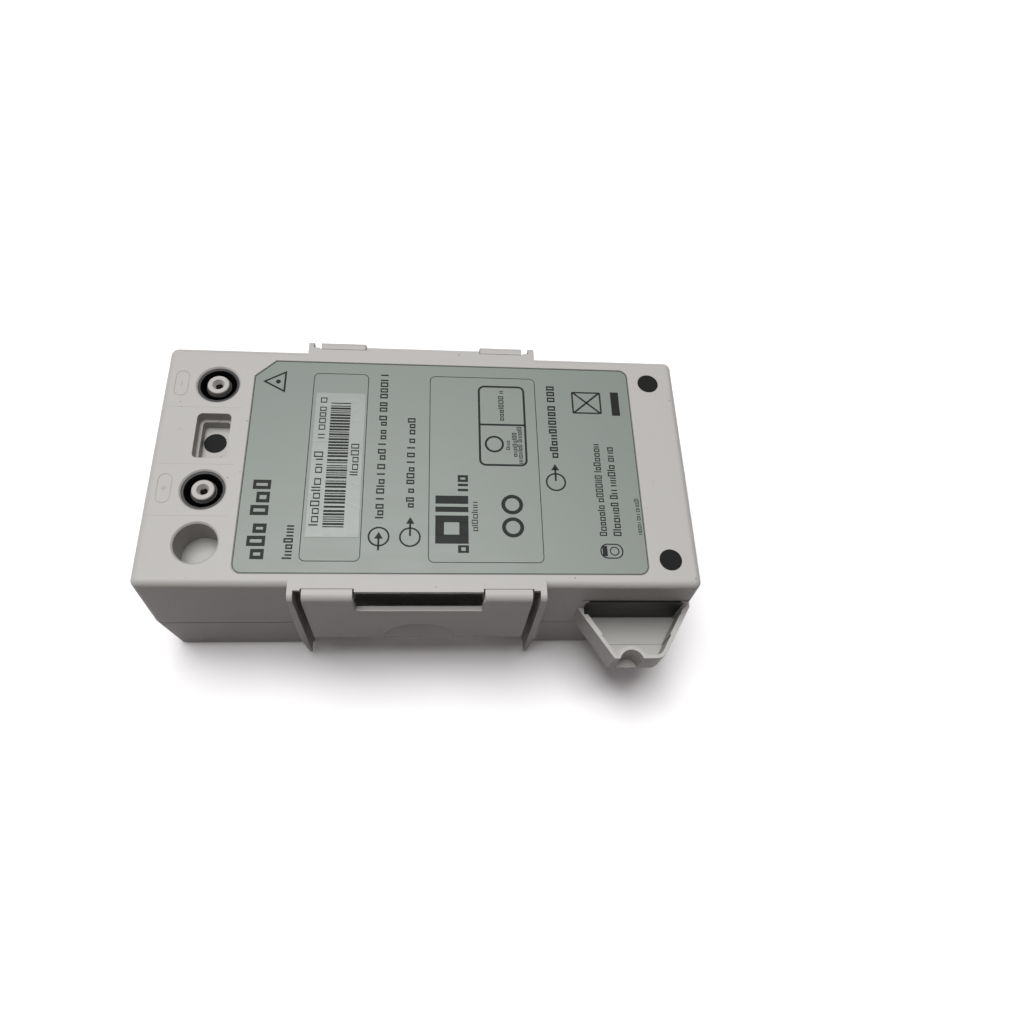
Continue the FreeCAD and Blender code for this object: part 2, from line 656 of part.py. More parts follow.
def upper_solids():
    """Everything added to the outer form of the upper shell."""
    roof_z = HEIGHT - ROOF / 2
    cup_z = (HEIGHT - WELL_DEPTH - WELL_FLOOR, roof_z)
    cups = [disc(WELL_R + WELL_WALL, CONTACT_X, y, cup_z) for y in CONTACT_Y]
    peg_z = (HEIGHT - LOCATING_DEPTH - WELL_FLOOR, roof_z)
    cups.append(disc(LOCATING_R + WELL_WALL, CONTACT_X, LOCATING_Y, peg_z))
    bosses = [disc(BOSS_R, *at, (BOSS_JOIN_Z, top_z - ROOF / 2)) for at, top_z in zip(SCREW_AT, PLUG_TOP_Z)]
    x = (RECESS_X[0] - RECESS_WALL, RECESS_X[1] + RECESS_WALL)
    y = (RECESS_Y[0] - RECESS_WALL, RECESS_Y[1] + RECESS_WALL)
    cup_z = (HEIGHT - RECESS_DEPTH - RECESS_FLOOR, roof_z)
    bosses.append(rounded_box(x, y, cup_z, RECESS_R[0] + RECESS_WALL))
    return cups + bosses


def upper_shell():
    """Upper moulding: label face, contact wells, latch pods, tray and side port."""
    low = SEAM_Z - OVERRUN
    high = HEIGHT - ROOF
    inner = tapered_box(grow(SEAM_HALF, -WALL), low, grow(TOP_HALF, -WALL), high, INNER_CORNER_R)
    for strip in pocket_walls():
        inner = inner.cut(strip)
    skin = upper_outer().cut(inner)
    pods = both_sides(pod())
    shell = union([skin] + upper_solids() + pods)
    for strip in pocket_limits(POCKET_Y):
        shell = shell.cut(strip.cut(union(pods)))
    for room in hinge_room():
        for side_room in both_sides(room):
            shell = shell.cut(side_room)
    shell = shell.cut(port_brow()).fuse(tray()).cut(port_plan(0, PORT_CUT_Y))
    for y in CONTACT_Y:
        shell = shell.cut(well_cutter(WELL_R, CONTACT_X, y, WELL_DEPTH))
        shell = shell.cut(disc(POST_R + POST_GAP, CONTACT_X, y, (SEAM_Z, HEIGHT)))
    shell = shell.cut(well_cutter(LOCATING_R, CONTACT_X, LOCATING_Y, LOCATING_DEPTH))
    shell = shell.cut(contact_recess()).cut(label_plan(0, HEIGHT - LABEL_SINK, LABEL_SINK + OVERRUN))
    for (x, y), top_z in zip(SCREW_AT, PLUG_TOP_Z):
        shell = shell.cut(screw_cutter(x, y, top_z))
    return shell.removeSplitter()


def upper_moulding():
    """The upper shell shared out by name: main shell, contact end, latch pods and side tray."""
    shell = upper_shell()
    wide = (-BEYOND, BEYOND)
    tall = (-OVERRUN, BEYOND)
    bay_edges = (wide[0],) + CONTACT_END_CUTS_Y + (wide[1],)
    bays = [box((wide[0], CONTACT_END_X), bay, tall) for bay in zip(bay_edges, bay_edges[1:])]
    far_pod = box(POD_SHARE_X, (POCKET_Y, wide[1]), tall)
    near_tray = box(TRAY_SHARE_X, (wide[0], -SEAM_HALF[1]), tall)
    shares = bays + [far_pod, across(far_pod), near_tray]
    *end_bays, far, near, side_tray = [shell.common(share) for share in shares]
    for share in shares:
        shell = shell.cut(share)
    return {
        "upper_shell": shell,
        "contact_end": group([solid for bay in end_bays for solid in bay.Solids]),
        "far_latch_pod": far,
        "near_latch_pod": near,
        "side_tray": side_tray,
    }


# --- Lower shell ------------------------------------------------------------------------------------
def tongue_plan(inset, z, radius):
    """Solid inside the seam outline, drawn in by the given amount, with room for the latch pockets."""
    half_x, half_y = grow(SEAM_HALF, -inset)
    plan = rounded_box((-half_x, half_x), (-half_y, half_y), z, radius)
    clear = inset - WALL
    x = (POCKET_WALL_X[0] - clear, POCKET_WALL_X[1] + clear)
    for strip in both_sides(box(x, (POCKET_WALL_Y - clear, BEYOND), (0, HEIGHT))):
        plan = plan.cut(strip)
    return plan


def seam_tongue():
    """Thin lip of the lower shell that locates inside the upper shell."""
    inset = WALL + TONGUE_GAP
    over = (TONGUE_Z[0] - OVERRUN, TONGUE_Z[1] + OVERRUN)
    inner = tongue_plan(inset + TONGUE_T, over, TONGUE_R - TONGUE_T)
    return tongue_plan(inset, TONGUE_Z, TONGUE_R).cut(inner)


def lower_shell():
    """Lower moulding: flat back face, board standoffs, screw bosses and the inlet landing."""
    low_half = grow(BASE_HALF, -WALL)
    inner = tapered_box(low_half, FLOOR, grow(SEAM_HALF, -WALL), SEAM_Z + OVERRUN, INNER_CORNER_R)
    for strip in pocket_walls():
        inner = inner.cut(strip)
    wall_x = LANDING_X - LANDING_WALL
    wall_y = (-LANDING_WALL_HALF_Y, LANDING_WALL_HALF_Y)
    inner = inner.cut(box((wall_x, BEYOND), wall_y, (0, HEIGHT)))
    shell = lower_outer().cut(inner)
    landing_z = (INLET_Z - LANDING_LOW, SEAM_Z + OVERRUN)
    shell = shell.cut(box((LANDING_X, BEYOND), (-LANDING_HALF_Y, LANDING_HALF_Y), landing_z))
    depth, width = SEAM_GROOVE
    half_x, half_y = grow(SEAM_HALF, -depth)
    seam_z = (SEAM_Z - width, SEAM_Z + OVERRUN)
    core = rounded_box((-half_x, half_x), (-half_y, half_y), seam_z, CORNER_R)
    shell = shell.cut(box((-BEYOND, BEYOND), (-BEYOND, BEYOND), seam_z).cut(core))
    bosses = [disc(LOWER_BOSS_R, x, y, (FLOOR / 2, BOSS_JOIN_Z)) for x, y in SCREW_AT]
    standoffs = [disc(STANDOFF_R, x, y, (FLOOR / 2, BOARD_Z)) for x, y in BOARD_SCREWS]
    shell = union([shell, seam_tongue()] + bosses + standoffs)
    for strip in pocket_limits(POCKET_Y):
        shell = shell.cut(strip)
    for x, y in SCREW_AT:
        pilot_z = (SHANK_TIP_Z - OVERRUN, BOSS_JOIN_Z + OVERRUN)
        shell = shell.cut(disc(SHANK_R + PILOT_GAP, x, y, pilot_z))
    for x, y in BOARD_SCREWS:
        shell = shell.cut(disc(STANDOFF_PILOT_R, x, y, (FLOOR, BOARD_Z + OVERRUN)))
    shell = shell.cut(box((wall_x - OVERRUN, BEYOND), *inlet_section(INLET_GAP)))
    tongue_gap = box((wall_x - WALL - TONGUE_T, BEYOND), wall_y, (SEAM_Z, HEIGHT))
    return shell.cut(tongue_gap).removeSplitter()


# --- Plugs and screws -------------------------------------------------------------------------------
def screw_plug(x, y, top_z):
    """Soft plug that hides a shell screw, with a bevelled lower edge."""
    body = disc(PLUG_R, x, y, (top_z - PLUG_T, top_z))
    return body.makeChamfer(PLUG_BEVEL, edges_at_z(body, top_z - PLUG_T))


def cross_cut(shape, x, y, top_z, reach):
    """Cross recess cut into a screw head."""
    depth = (top_z - CROSS_DEPTH, top_z + OVERRUN)
    for span_x, span_y in ((reach, CROSS_HALF), (CROSS_HALF, reach)):
        shape = shape.cut(box((x - span_x, x + span_x), (y - span_y, y + span_y), depth))
    return shape


def shell_screw(x, y):
    """Long pan-head screw with a cross recess."""
    top_z = HEAD_SEAT_Z + HEAD_T
    head = disc(HEAD_R, x, y, (HEAD_SEAT_Z, top_z))
    head = head.makeFillet(HEAD_EDGE_R, edges_at_z(head, top_z))
    shank = disc(SHANK_R, x, y, (SHANK_TIP_Z, HEAD_SEAT_Z))
    return cross_cut(head.fuse(shank), x, y, top_z, HEAD_CROSS)


def board_screw(x, y):
    """Short screw that holds the main board to a standoff."""
    head_r, head_t, cross = BOARD_HEAD
    shank_r, reach = BOARD_SHANK
    head = disc(head_r, x, y, (BOARD_TOP, BOARD_TOP + head_t))
    shank = disc(shank_r, x, y, (BOARD_Z - reach, BOARD_TOP))
    return cross_cut(head.fuse(shank), x, y, BOARD_TOP + head_t, cross)


# --- Contacts ---------------------------------------------------------------------------------------
def contact_socket(y):
    """Turned socket with a blind bore and a solder cup."""
    cup_r, cup_depth = SOLDER_CUP
    body = disc(SOCKET_R - POST_GAP, CONTACT_X, y, (SOCKET_TAIL_Z, SOCKET_TOP_Z - POST_GAP))
    bore = disc(SOCKET_BORE_R, CONTACT_X, y, (SOCKET_TOP_Z - SOCKET_BORE_DEPTH, HEIGHT))
    cup = disc(cup_r, CONTACT_X, y, (SOCKET_TAIL_Z - OVERRUN, SOCKET_TAIL_Z + cup_depth))
    return body.cut(bore).cut(cup)


def contact_collar(y):
    """Black insulating cup that lines the well, with an inner sleeve around the post."""
    low = HEIGHT - WELL_DEPTH
    outer = disc(WELL_R - POST_GAP, CONTACT_X, y, (low, HEIGHT - COLLAR_DROP))
    room = disc(WELL_R - COLLAR_WALL, CONTACT_X, y, (low + COLLAR_FLOOR, HEIGHT))
    sleeve = disc(POST_R + SLEEVE_WALL, CONTACT_X, y, (low, HEIGHT - SLEEVE_DROP))
    hole = disc(POST_R + POST_GAP, CONTACT_X, y, (low - OVERRUN, HEIGHT))
    return outer.cut(room).fuse(sleeve).cut(hole).removeSplitter()


def port_cover():
    """Black insulating panel that closes the side port from inside."""
    back_y, wall_y, front_y = COVER_Y
    front = port_plan(-COVER_GAP, (wall_y, front_y))
    flange_x = (PORT_X[0] - COVER_FLANGE, COVER_FLANGE_X)
    flange_z = (TRAY_BOTTOM_Z + TRAY_FLOOR + COVER_GAP, PORT_TOP_Z + COVER_FLANGE)
    return front.fuse(box(flange_x, (wall_y, back_y), flange_z)).removeSplitter()


# --- Mains inlet ------------------------------------------------------------------------------------
def inlet_section(extra):
    """Side and height spans of the inlet body."""
    side, rise = INLET_HALF
    return ((-side - extra, side + extra), (INLET_Z - rise, INLET_Z + rise + extra))


def inlet_cavity():
    """Three-pin socket cavity with its two upper corners cut."""
    half_y, half_z = INLET_CAVITY_HALF
    start = INLET_FACE_X - INLET_CAVITY_DEPTH
    low = INLET_Z - half_z
    high = INLET_Z + half_z
    outline = [(start, -half_y, low), (start, half_y, low), (start, half_y, high - INLET_CHAMFER),
               (start, half_y - INLET_CHAMFER, high), (start, INLET_CHAMFER - half_y, high),
               (start, -half_y, high - INLET_CHAMFER)]
    return prism(outline, (INLET_CAVITY_DEPTH + OVERRUN, 0, 0))


def blade_places():
    """Line, neutral and earth positions, seen on the inlet face."""
    low = INLET_Z - BLADE_OFFSET_Z
    return ((-BLADE_PITCH, low), (BLADE_PITCH, low), (0.0, INLET_Z + BLADE_OFFSET_Z))


def blade_bar(place, tail):
    """Flat blade from its solder tab to its tip."""
    y, z = place
    half_y, half_z = BLADE_HALF
    tip = INLET_FACE_X - INLET_CAVITY_DEPTH + BLADE_STAND
    return box((INLET_BACK_X - tail, tip), (y - half_y, y + half_y), (z - half_z, z + half_z))


def inlet_housing():
    """Insulating body of the mains inlet with a flange behind the shell wall."""
    side, rise = INLET_HALF
    body = box((INLET_BACK_X, INLET_FACE_X), (-side, side), (FLOOR, INLET_Z + rise))
    flange_y, flange_z = INLET_FLANGE_HALF
    flange_x = [LANDING_X - back for back in INLET_FLANGE_BACK]
    flange = box(flange_x, (-flange_y, flange_y), (INLET_Z - flange_z, INLET_Z + flange_z))
    housing = body.fuse(flange).cut(inlet_cavity())
    for place in blade_places():
        housing = housing.cut(blade_bar(place, 0.0))
    return housing.removeSplitter()


def inlet_blade(place):
    """One blade with a bevelled tip."""
    blade = blade_bar(place, TAB_LENGTH)
    tip = blade.BoundBox.XMax
    end = [e for e in blade.Edges if all(abs(v.X - tip) < 1e-4 for v in e.Vertexes)]
    return blade.makeChamfer(BLADE_BEVEL, end)


# --- Board parts ------------------------------------------------------------------------------------
def above(low, high):
    """Two heights measured from the top of the board."""
    return (BOARD_TOP + low, BOARD_TOP + high)


def around(middle, half):
    """Span with the given middle."""
    return (middle - half, middle + half)


def main_board():
    """Glass-fibre board with its four screw holes."""
    board = box(BOARD_X, around(0, BOARD_HALF_Y), (BOARD_Z, BOARD_TOP))
    for x, y in BOARD_SCREWS:
        board = board.cut(disc(BOARD_HOLE_R, x, y, (BOARD_Z - OVERRUN, BOARD_TOP + OVERRUN)))
    return board


def insulation_sheet():
    """Clear barrier sheet between the board and the back face."""
    x = (BOARD_X[0] - OVERRUN, BOARD_X[1] + OVERRUN)
    sheet = box(x, around(0, SHEET_HALF_Y), (FLOOR, FLOOR + SHEET_T))
    for at in BOARD_SCREWS:
        sheet = sheet.cut(disc(STANDOFF_R + SHEET_T, *at, (0, BOARD_Z)))
    return sheet


def fuse_link(y):
    """Cartridge fuse lying along X, with its two end caps as thicker stretches."""
    axis_z = BOARD_TOP + FUSE_AXIS
    cap_r, cap_l = FUSE_CAP
    x0, x1 = FUSE_X
    barrel = rod(FUSE_R, (x0 + OVERRUN, y, axis_z), (1, 0, 0), x1 - x0 - 2 * OVERRUN)
    return union([barrel] + [rod(cap_r, (x, y, axis_z), (1, 0, 0), cap_l) for x in (x0, x1 - cap_l)])


def fuse_clip(x, y):
    """Spring clip that holds one end of a fuse."""
    inner_r, outer_r = CLIP_R
    mouth_half, mouth_low = CLIP_MOUTH
    foot_half, foot_high, foot_round = CLIP_FOOT
    start = (x - OVERRUN, y, BOARD_TOP + FUSE_AXIS)
    along = CLIP_L + 2 * OVERRUN
    wide = (x - OVERRUN, x + CLIP_L + OVERRUN)
    cup = rod(outer_r, (x, y, BOARD_TOP + FUSE_AXIS), (1, 0, 0), CLIP_L)
    cup = cup.cut(rod(inner_r, start, (1, 0, 0), along))
    cup = cup.cut(box(wide, around(y, mouth_half), (BOARD_TOP + mouth_low, HEIGHT)))
    foot = box((x, x + CLIP_L), around(y, foot_half), above(0, foot_high))
    return cup.fuse(foot.cut(rod(foot_round, start, (1, 0, 0), along))).removeSplitter()


def film_capacitor(x, y, half_length):
    """Boxed film capacitor standing on the board."""
    return rounded_box(around(x, FILM_HALF_X), around(y, half_length), above(0, FILM_HEIGHT), FILM_R)


def disc_part(x, y, radius, thick):
    """Upright disc part, such as a varistor or a thermistor, standing on two leads."""
    body = rod(radius, (x - thick / 2, y, BOARD_TOP + radius + DISC_STAND), (1, 0, 0), thick)
    edges = [e for e in body.Edges if abs(e.Length - 2 * math.pi * radius) < 1e-3]
    body = body.makeFillet(thick * DISC_EDGE, edges)
    leg_r, leg_y = DISC_LEG
    return union([body] + [disc(leg_r, x, y + side, above(0, radius)) for side in (-leg_y, leg_y)])


def toroid(x, y, inner, outer, height, low):
    """Ring core lying flat."""
    return tube(outer, inner, x, y, (low, low + height))


def toroid_winding(x, y, inner, outer, height, low, start, sweep):
    """Wire wound round part of a ring core, as one closed sleeve around it."""
    sleeve = tube(outer + WIRE_D, inner - WIRE_D, x, y, (low - WIRE_D, low + height + WIRE_D))
    gap = WIRE_GAP
    core = toroid(x, y, inner - gap, outer + gap, height + 2 * gap, low - gap)
    foot = V(x, y, 0)
    reach = 2 * outer
    rays = []
    for turn in (start, start + sweep / 2, start + sweep):
        heading = math.radians(turn)
        rays.append(foot + V(reach * math.cos(heading), reach * math.sin(heading), 0))
    wedge = Part.Face(Part.makePolygon([foot] + rays + [foot])).extrude(V(0, 0, HEIGHT))
    return sleeve.cut(core).common(wedge)


def bridge_rectifier():
    """Flat four-lead bridge standing against the primary heat sink."""
    body = box(BRIDGE_X, BRIDGE_Y, above(*BRIDGE_RISE))
    first, pitch, count = BRIDGE_LEGS
    leg_r, leg_y = BRIDGE_LEG
    legs = [disc(leg_r, first + pitch * i, leg_y, above(0, BRIDGE_RISE[0])) for i in range(count)]
    return union([body] + legs)


def bulk_capacitor():
    """Large electrolytic can lying on the board, with a crimped groove near its end."""
    axis_z = BOARD_TOP + BULK_R
    offset, width, depth = BULK_GROOVE
    x0, x1 = BULK_X
    can = rod(BULK_R, (x0, BULK_Y, axis_z), (1, 0, 0), x1 - x0)
    start = (x0 + offset, BULK_Y, axis_z)
    ring = rod(BULK_R + OVERRUN, start, (1, 0, 0), width)
    return can.cut(ring.cut(rod(BULK_R - depth, start, (1, 0, 0), width)))


def heat_sink(x, y):
    """Upright aluminium plate along X with short fins on its +Y side."""
    plate = box(x, (y, y + SINK_T), above(0, SINK_HEIGHT))
    fins = []
    for index in range(int((x[1] - x[0]) // FIN_PITCH)):
        at = x[0] + (index + 0.5) * FIN_PITCH
        fins.append(box((at, at + FIN_T), (y + SINK_T, y + SINK_T + FIN_REACH), above(FIN_FOOT, SINK_HEIGHT)))
    return union([plate] + fins)


def power_device(x, sink_y):
    """Flat-backed power transistor or diode with three leads, standing against a heat sink."""
    y = sink_y - SINK_GAP
    low, middle, top = DEVICE_RISE
    pitch, lead_half, lead_near, lead_far = DEVICE_LEAD
    body = box(around(x, DEVICE_HALF), (y, y - DEVICE_T), above(low, middle))
    tab = box(around(x, DEVICE_HALF), (y, y - DEVICE_TAB_T), above(middle, top))
    legs = [box(around(x + shift, lead_half), (y - lead_near, y - lead_far), above(0, low))
            for shift in (-pitch, 0, pitch)]
    return union([body, tab] + legs)


def from_core(low, high):
    """Two heights measured from the foot of the transformer core."""
    return (TRANSFORMER_LOW + low, TRANSFORMER_LOW + high)


def transformer_core():
    """Two ferrite halves closed into one square ring with a centre leg."""
    x, y = TRANSFORMER_AT
    half_x, half_y = CORE_HALF
    block = box(around(x, half_x), around(y, half_y), from_core(0, CORE_HEIGHT))
    near, far = CORE_WINDOW_X
    for window in ((x - far, x - near), (x + near, x + far)):
        block = block.cut(box(window, around(y, half_y + OVERRUN), from_core(*CORE_WINDOW_Z)))
    return block


def transformer_bobbin():
    """Moulded bobbin around the centre leg, standing on its pin bars."""
    x, y = TRANSFORMER_AT
    half_x, half_y = BOBBIN_HUB
    cheek_x, cheek_y, cheek_t = BOBBIN_CHEEK
    foot_x, foot_near, foot_far = BOBBIN_FOOT
    low, high = BOBBIN_Z
    parts = [box(around(x, half_x), around(y, half_y), from_core(low, high))]
    for z in ((low, low + cheek_t), (high - cheek_t, high)):
        parts.append(box(around(x, cheek_x), around(y, cheek_y), from_core(*z)))
    foot_z = (BOARD_TOP, TRANSFORMER_LOW + low + cheek_t)
    for span in ((y - foot_far, y - foot_near), (y + foot_near, y + foot_far)):
        parts.append(box(around(x, foot_x), span, foot_z))
    leg_x = around(x, CORE_WINDOW_X[0] + BOBBIN_GAP)
    leg = box(leg_x, around(y, CORE_HALF[1] + BOBBIN_GAP), from_core(0, CORE_HEIGHT))
    return union(parts).cut(leg)


def transformer_winding():
    """Copper windings under tape between the bobbin flanges."""
    x, y = TRANSFORMER_AT
    half_x, half_y = WINDING_HALF
    hub_x, hub_y = grow(BOBBIN_HUB, BOBBIN_GAP)
    inset = BOBBIN_CHEEK[2] + BOBBIN_GAP
    z = from_core(BOBBIN_Z[0] + inset, BOBBIN_Z[1] - inset)
    outer = rounded_box(around(x, half_x), around(y, half_y), z, WINDING_R)
    return outer.cut(box(around(x, hub_x), around(y, hub_y), from_core(0, CORE_HEIGHT)))


def output_capacitor(x, y):
    """Upright electrolytic can."""
    top_z = BOARD_TOP + CAN_HEIGHT
    depth, low, high = CAN_GROOVE
    can = disc(CAN_R, x, y, (BOARD_TOP, top_z))
    can = can.makeFillet(CAN_EDGE_R, edges_at_z(can, top_z))
    return can.cut(tube(CAN_R + OVERRUN, CAN_R - depth, x, y, above(low, high)))


def controller_board():
    """Small upright board with the switching controller."""
    return box(CONTROLLER_X, CONTROLLER_Y, above(0, CONTROLLER_HEIGHT))


def controller_chip():
    """Switching controller on the upright board."""
    x, y, rise = CONTROLLER_CHIP
    thick, half_y, half_z = CONTROLLER_CHIP_SIZE
    return box((x, x + thick), around(y, half_y), above(rise - half_z, rise + half_z))


def isolating_coupler(x, y):
    """Dual-in-line optocoupler that lies on the board."""
    half_x, half_y, thick = COUPLER_SIZE
    return box(around(x, half_x), around(y, half_y), above(0, thick))


# --- Internal wiring --------------------------------------------------------------------------------
def mains_lead(place, landing_y):
    """Wire from an inlet tab down to its pad on the board."""
    y, z = place
    tab_x = INLET_BACK_X - TAB_LENGTH
    leave, dip, land = [tab_x - step for step in MAINS_LEAD_STEPS]
    crest_z = BOARD_TOP + MAINS_LEAD_CREST
    points = [(tab_x, y, z), (leave, y, z), (dip, (y + landing_y) / 2, crest_z),
              (land, landing_y, crest_z), (land, landing_y, BOARD_TOP)]
    return lead(points, MAINS_LEAD_R)


def output_lead(y, landing_y):
    """Wire from a pad on the board up to the solder cup of a contact socket."""
    low, high = [BOARD_TOP + rise for rise in OUTPUT_LEAD_RISE]
    cup_r, cup_depth = SOLDER_CUP
    points = [(OUTPUT_LANDING_X, landing_y, BOARD_TOP), (OUTPUT_LANDING_X, landing_y, low),
              (OUTPUT_BEND_X, (y + landing_y) / 2, high), (CONTACT_X, y, SOCKET_TAIL_Z - OUTPUT_LEAD_DROP),
              (CONTACT_X, y, SOCKET_TAIL_Z + cup_depth)]
    return lead(points, OUTPUT_LEAD_R)


# --- Assembly ---------------------------------------------------------------------------------------
def build():
    """Every node by name."""
    arm = latch_arm()
    line, neutral, earth = blade_places()
    sheet_z = HEIGHT - LABEL_SINK + LABEL_T
    return upper_moulding() | {
        "lower_shell": lower_shell(),
        "far_latch_arm": arm,
        "near_latch_arm": across(arm),
        "rating_label": label_plan(LABEL_GAP, HEIGHT - LABEL_SINK, LABEL_T),
        "serial_sticker": box(STICKER_X, STICKER_Y, (sheet_z, sheet_z + STICKER_T)),
        "screw_plugs": group([screw_plug(*at, top_z) for at, top_z in zip(SCREW_AT, PLUG_TOP_Z)]),
        "shell_screws": group([shell_screw(*at) for at in SCREW_AT]),
        "contact_posts": group([contact_post(y) for y in CONTACT_Y]),
        "contact_sockets": group([contact_socket(y) for y in CONTACT_Y]),
        "contact_collars": group([contact_collar(y) for y in CONTACT_Y]),
        "port_cover": port_cover(),
        "inlet_housing": inlet_housing(),
        "inlet_blades": group([inlet_blade(place) for place in blade_places()]),
        "main_board": main_board(),
        "board_screws": group([board_screw(*at) for at in BOARD_SCREWS]),
        "insulation_sheet": insulation_sheet(),
        "line_fuses": group([fuse_link(y) for y in FUSE_Y]),
        "fuse_clips": group([fuse_clip(x, y) for y in FUSE_Y for x in CLIP_X]),
        "line_filter_capacitors": group([film_capacitor(*film) for film in FILM_AT]),
        "varistor": disc_part(*VARISTOR),
        "inrush_thermistor": disc_part(*THERMISTOR),
        "filter_choke_core": toroid(**CHOKE),
        "filter_choke_windings": group([toroid_winding(**CHOKE, start=s, sweep=120) for s in (30, 210)]),
        "bridge_rectifier": bridge_rectifier(),
        "bulk_capacitor": bulk_capacitor(),
        "primary_heat_sink": heat_sink(*PRIMARY_SINK),
        "switching_transistors": group([power_device(x, PRIMARY_SINK[1]) for x in TRANSISTOR_X]),
        "transformer_core": transformer_core(),
        "transformer_bobbin": transformer_bobbin(),
        "transformer_winding": transformer_winding(),
        "secondary_heat_sink": heat_sink(*SECONDARY_SINK),
        "output_rectifiers": group([power_device(x, SECONDARY_SINK[1]) for x in RECTIFIER_X]),
        "output_choke_core": toroid(**OUTPUT_CHOKE),
        "output_choke_winding": toroid_winding(**OUTPUT_CHOKE, start=30, sweep=150),
        "output_capacitors": group([output_capacitor(*at) for at in CAN_AT]),
        "controller_board": controller_board(),
        "controller_chip": controller_chip(),
        "isolating_couplers": group([isolating_coupler(*at) for at in COUPLER_AT]),
        "line_lead": mains_lead(line, LINE_LANDING_Y),
        "neutral_lead": mains_lead(neutral, NEUTRAL_LANDING_Y),
        "earth_lead": mains_lead(earth, EARTH_LANDING_Y),
        "positive_lead": output_lead(CONTACT_Y[1], POSITIVE_LANDING_Y),
        "negative_lead": output_lead(CONTACT_Y[0], NEGATIVE_LANDING_Y),
    }


def main():
    """Write one file per node."""
    os.makedirs("parts", exist_ok=True)
    for name, shape in build().items():
        shape.exportStep("parts/" + name + ".step")
        print(f"{name}: {len(shape.Solids)} solids, {shape.Volume:.1f} mm3, valid {shape.isValid()}")


main()
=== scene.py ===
import json
import logging
import math
import random
from contextlib import contextmanager
from dataclasses import dataclass, field
from enum import Enum
from typing import Any, Callable, Iterator, Sequence

import bmesh
import bpy
from mathutils import Euler, Matrix, Vector

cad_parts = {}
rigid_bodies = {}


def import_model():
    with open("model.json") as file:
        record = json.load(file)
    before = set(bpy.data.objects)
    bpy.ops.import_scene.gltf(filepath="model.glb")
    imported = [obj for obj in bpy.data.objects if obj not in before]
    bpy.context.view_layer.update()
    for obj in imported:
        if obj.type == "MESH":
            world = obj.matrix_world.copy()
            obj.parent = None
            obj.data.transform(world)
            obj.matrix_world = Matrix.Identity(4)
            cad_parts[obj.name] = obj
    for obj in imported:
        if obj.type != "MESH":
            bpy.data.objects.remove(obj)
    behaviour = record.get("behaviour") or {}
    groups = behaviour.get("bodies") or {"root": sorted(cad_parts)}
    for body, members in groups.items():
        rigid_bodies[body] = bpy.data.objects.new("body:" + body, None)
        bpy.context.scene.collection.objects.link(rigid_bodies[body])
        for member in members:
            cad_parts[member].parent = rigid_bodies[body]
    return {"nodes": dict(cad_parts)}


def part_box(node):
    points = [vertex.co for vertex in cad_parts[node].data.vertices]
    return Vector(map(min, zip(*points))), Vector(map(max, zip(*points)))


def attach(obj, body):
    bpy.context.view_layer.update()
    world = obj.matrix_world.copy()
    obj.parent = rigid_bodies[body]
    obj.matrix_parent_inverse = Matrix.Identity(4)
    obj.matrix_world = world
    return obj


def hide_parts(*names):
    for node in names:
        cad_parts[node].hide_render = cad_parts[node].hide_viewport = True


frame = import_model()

LOG = logging.getLogger("power_module")

MM = 0.001

Span = tuple[float, float]
Point = tuple[float, float]
Rgb = tuple[float, float, float]


class Body(Enum):
    """The bodies that pieces ride on."""

    HOUSING = "root"
    NEAR_LATCH = "near_latch"
    FAR_LATCH = "far_latch"


# --- Shader building ------------------------------------------------------------------------------
class Signal:
    """A number that varies over a surface, ready for Python arithmetic."""

    def __init__(self, graph: "Graph", socket: bpy.types.NodeSocket) -> None:
        """Wraps an output socket.

        Args:
            graph: The material graph that the socket belongs to.
            socket: The socket that carries the number.
        """
        self.graph = graph
        self.socket = socket

    def _math(self, operation: str, first: Any, second: Any) -> "Signal":
        """Adds a Math node.

        Args:
            operation: The Math node's operation.
            first: The first value or signal.
            second: The second value or signal.

        Returns:
            The node's result.
        """
        made = self.graph.node("ShaderNodeMath", {"operation": operation}, {0: first, 1: second})
        return Signal(self.graph, made.outputs[0])

    def __add__(self, other: Any) -> "Signal":
        """Sum."""
        return self._math("ADD", self, other)

    def __radd__(self, other: Any) -> "Signal":
        """Sum with the number on the left."""
        return self._math("ADD", other, self)

    def __sub__(self, other: Any) -> "Signal":
        """Difference."""
        return self._math("SUBTRACT", self, other)

    def __rsub__(self, other: Any) -> "Signal":
        """Difference with the number on the left."""
        return self._math("SUBTRACT", other, self)

    def __mul__(self, other: Any) -> "Signal":
        """Product."""
        return self._math("MULTIPLY", self, other)

    def __rmul__(self, other: Any) -> "Signal":
        """Product with the number on the left."""
        return self._math("MULTIPLY", other, self)

    def larger(self, other: Any) -> "Signal":
        """The larger of two signals."""
        return self._math("MAXIMUM", self, other)

    def rise(self, low: float, high: float) -> "Signal":
        """A soft step.

        Args:
            low: Where the result starts to leave 0.
            high: Where the result reaches 1.

        Returns:
            A signal from 0 to 1.
        """
        sockets = {"Value": self, "From Min": low, "From Max": high}
        made = self.graph.node("ShaderNodeMapRange", {"interpolation_type": "SMOOTHSTEP"}, sockets)
        return Signal(self.graph, made.outputs[0])


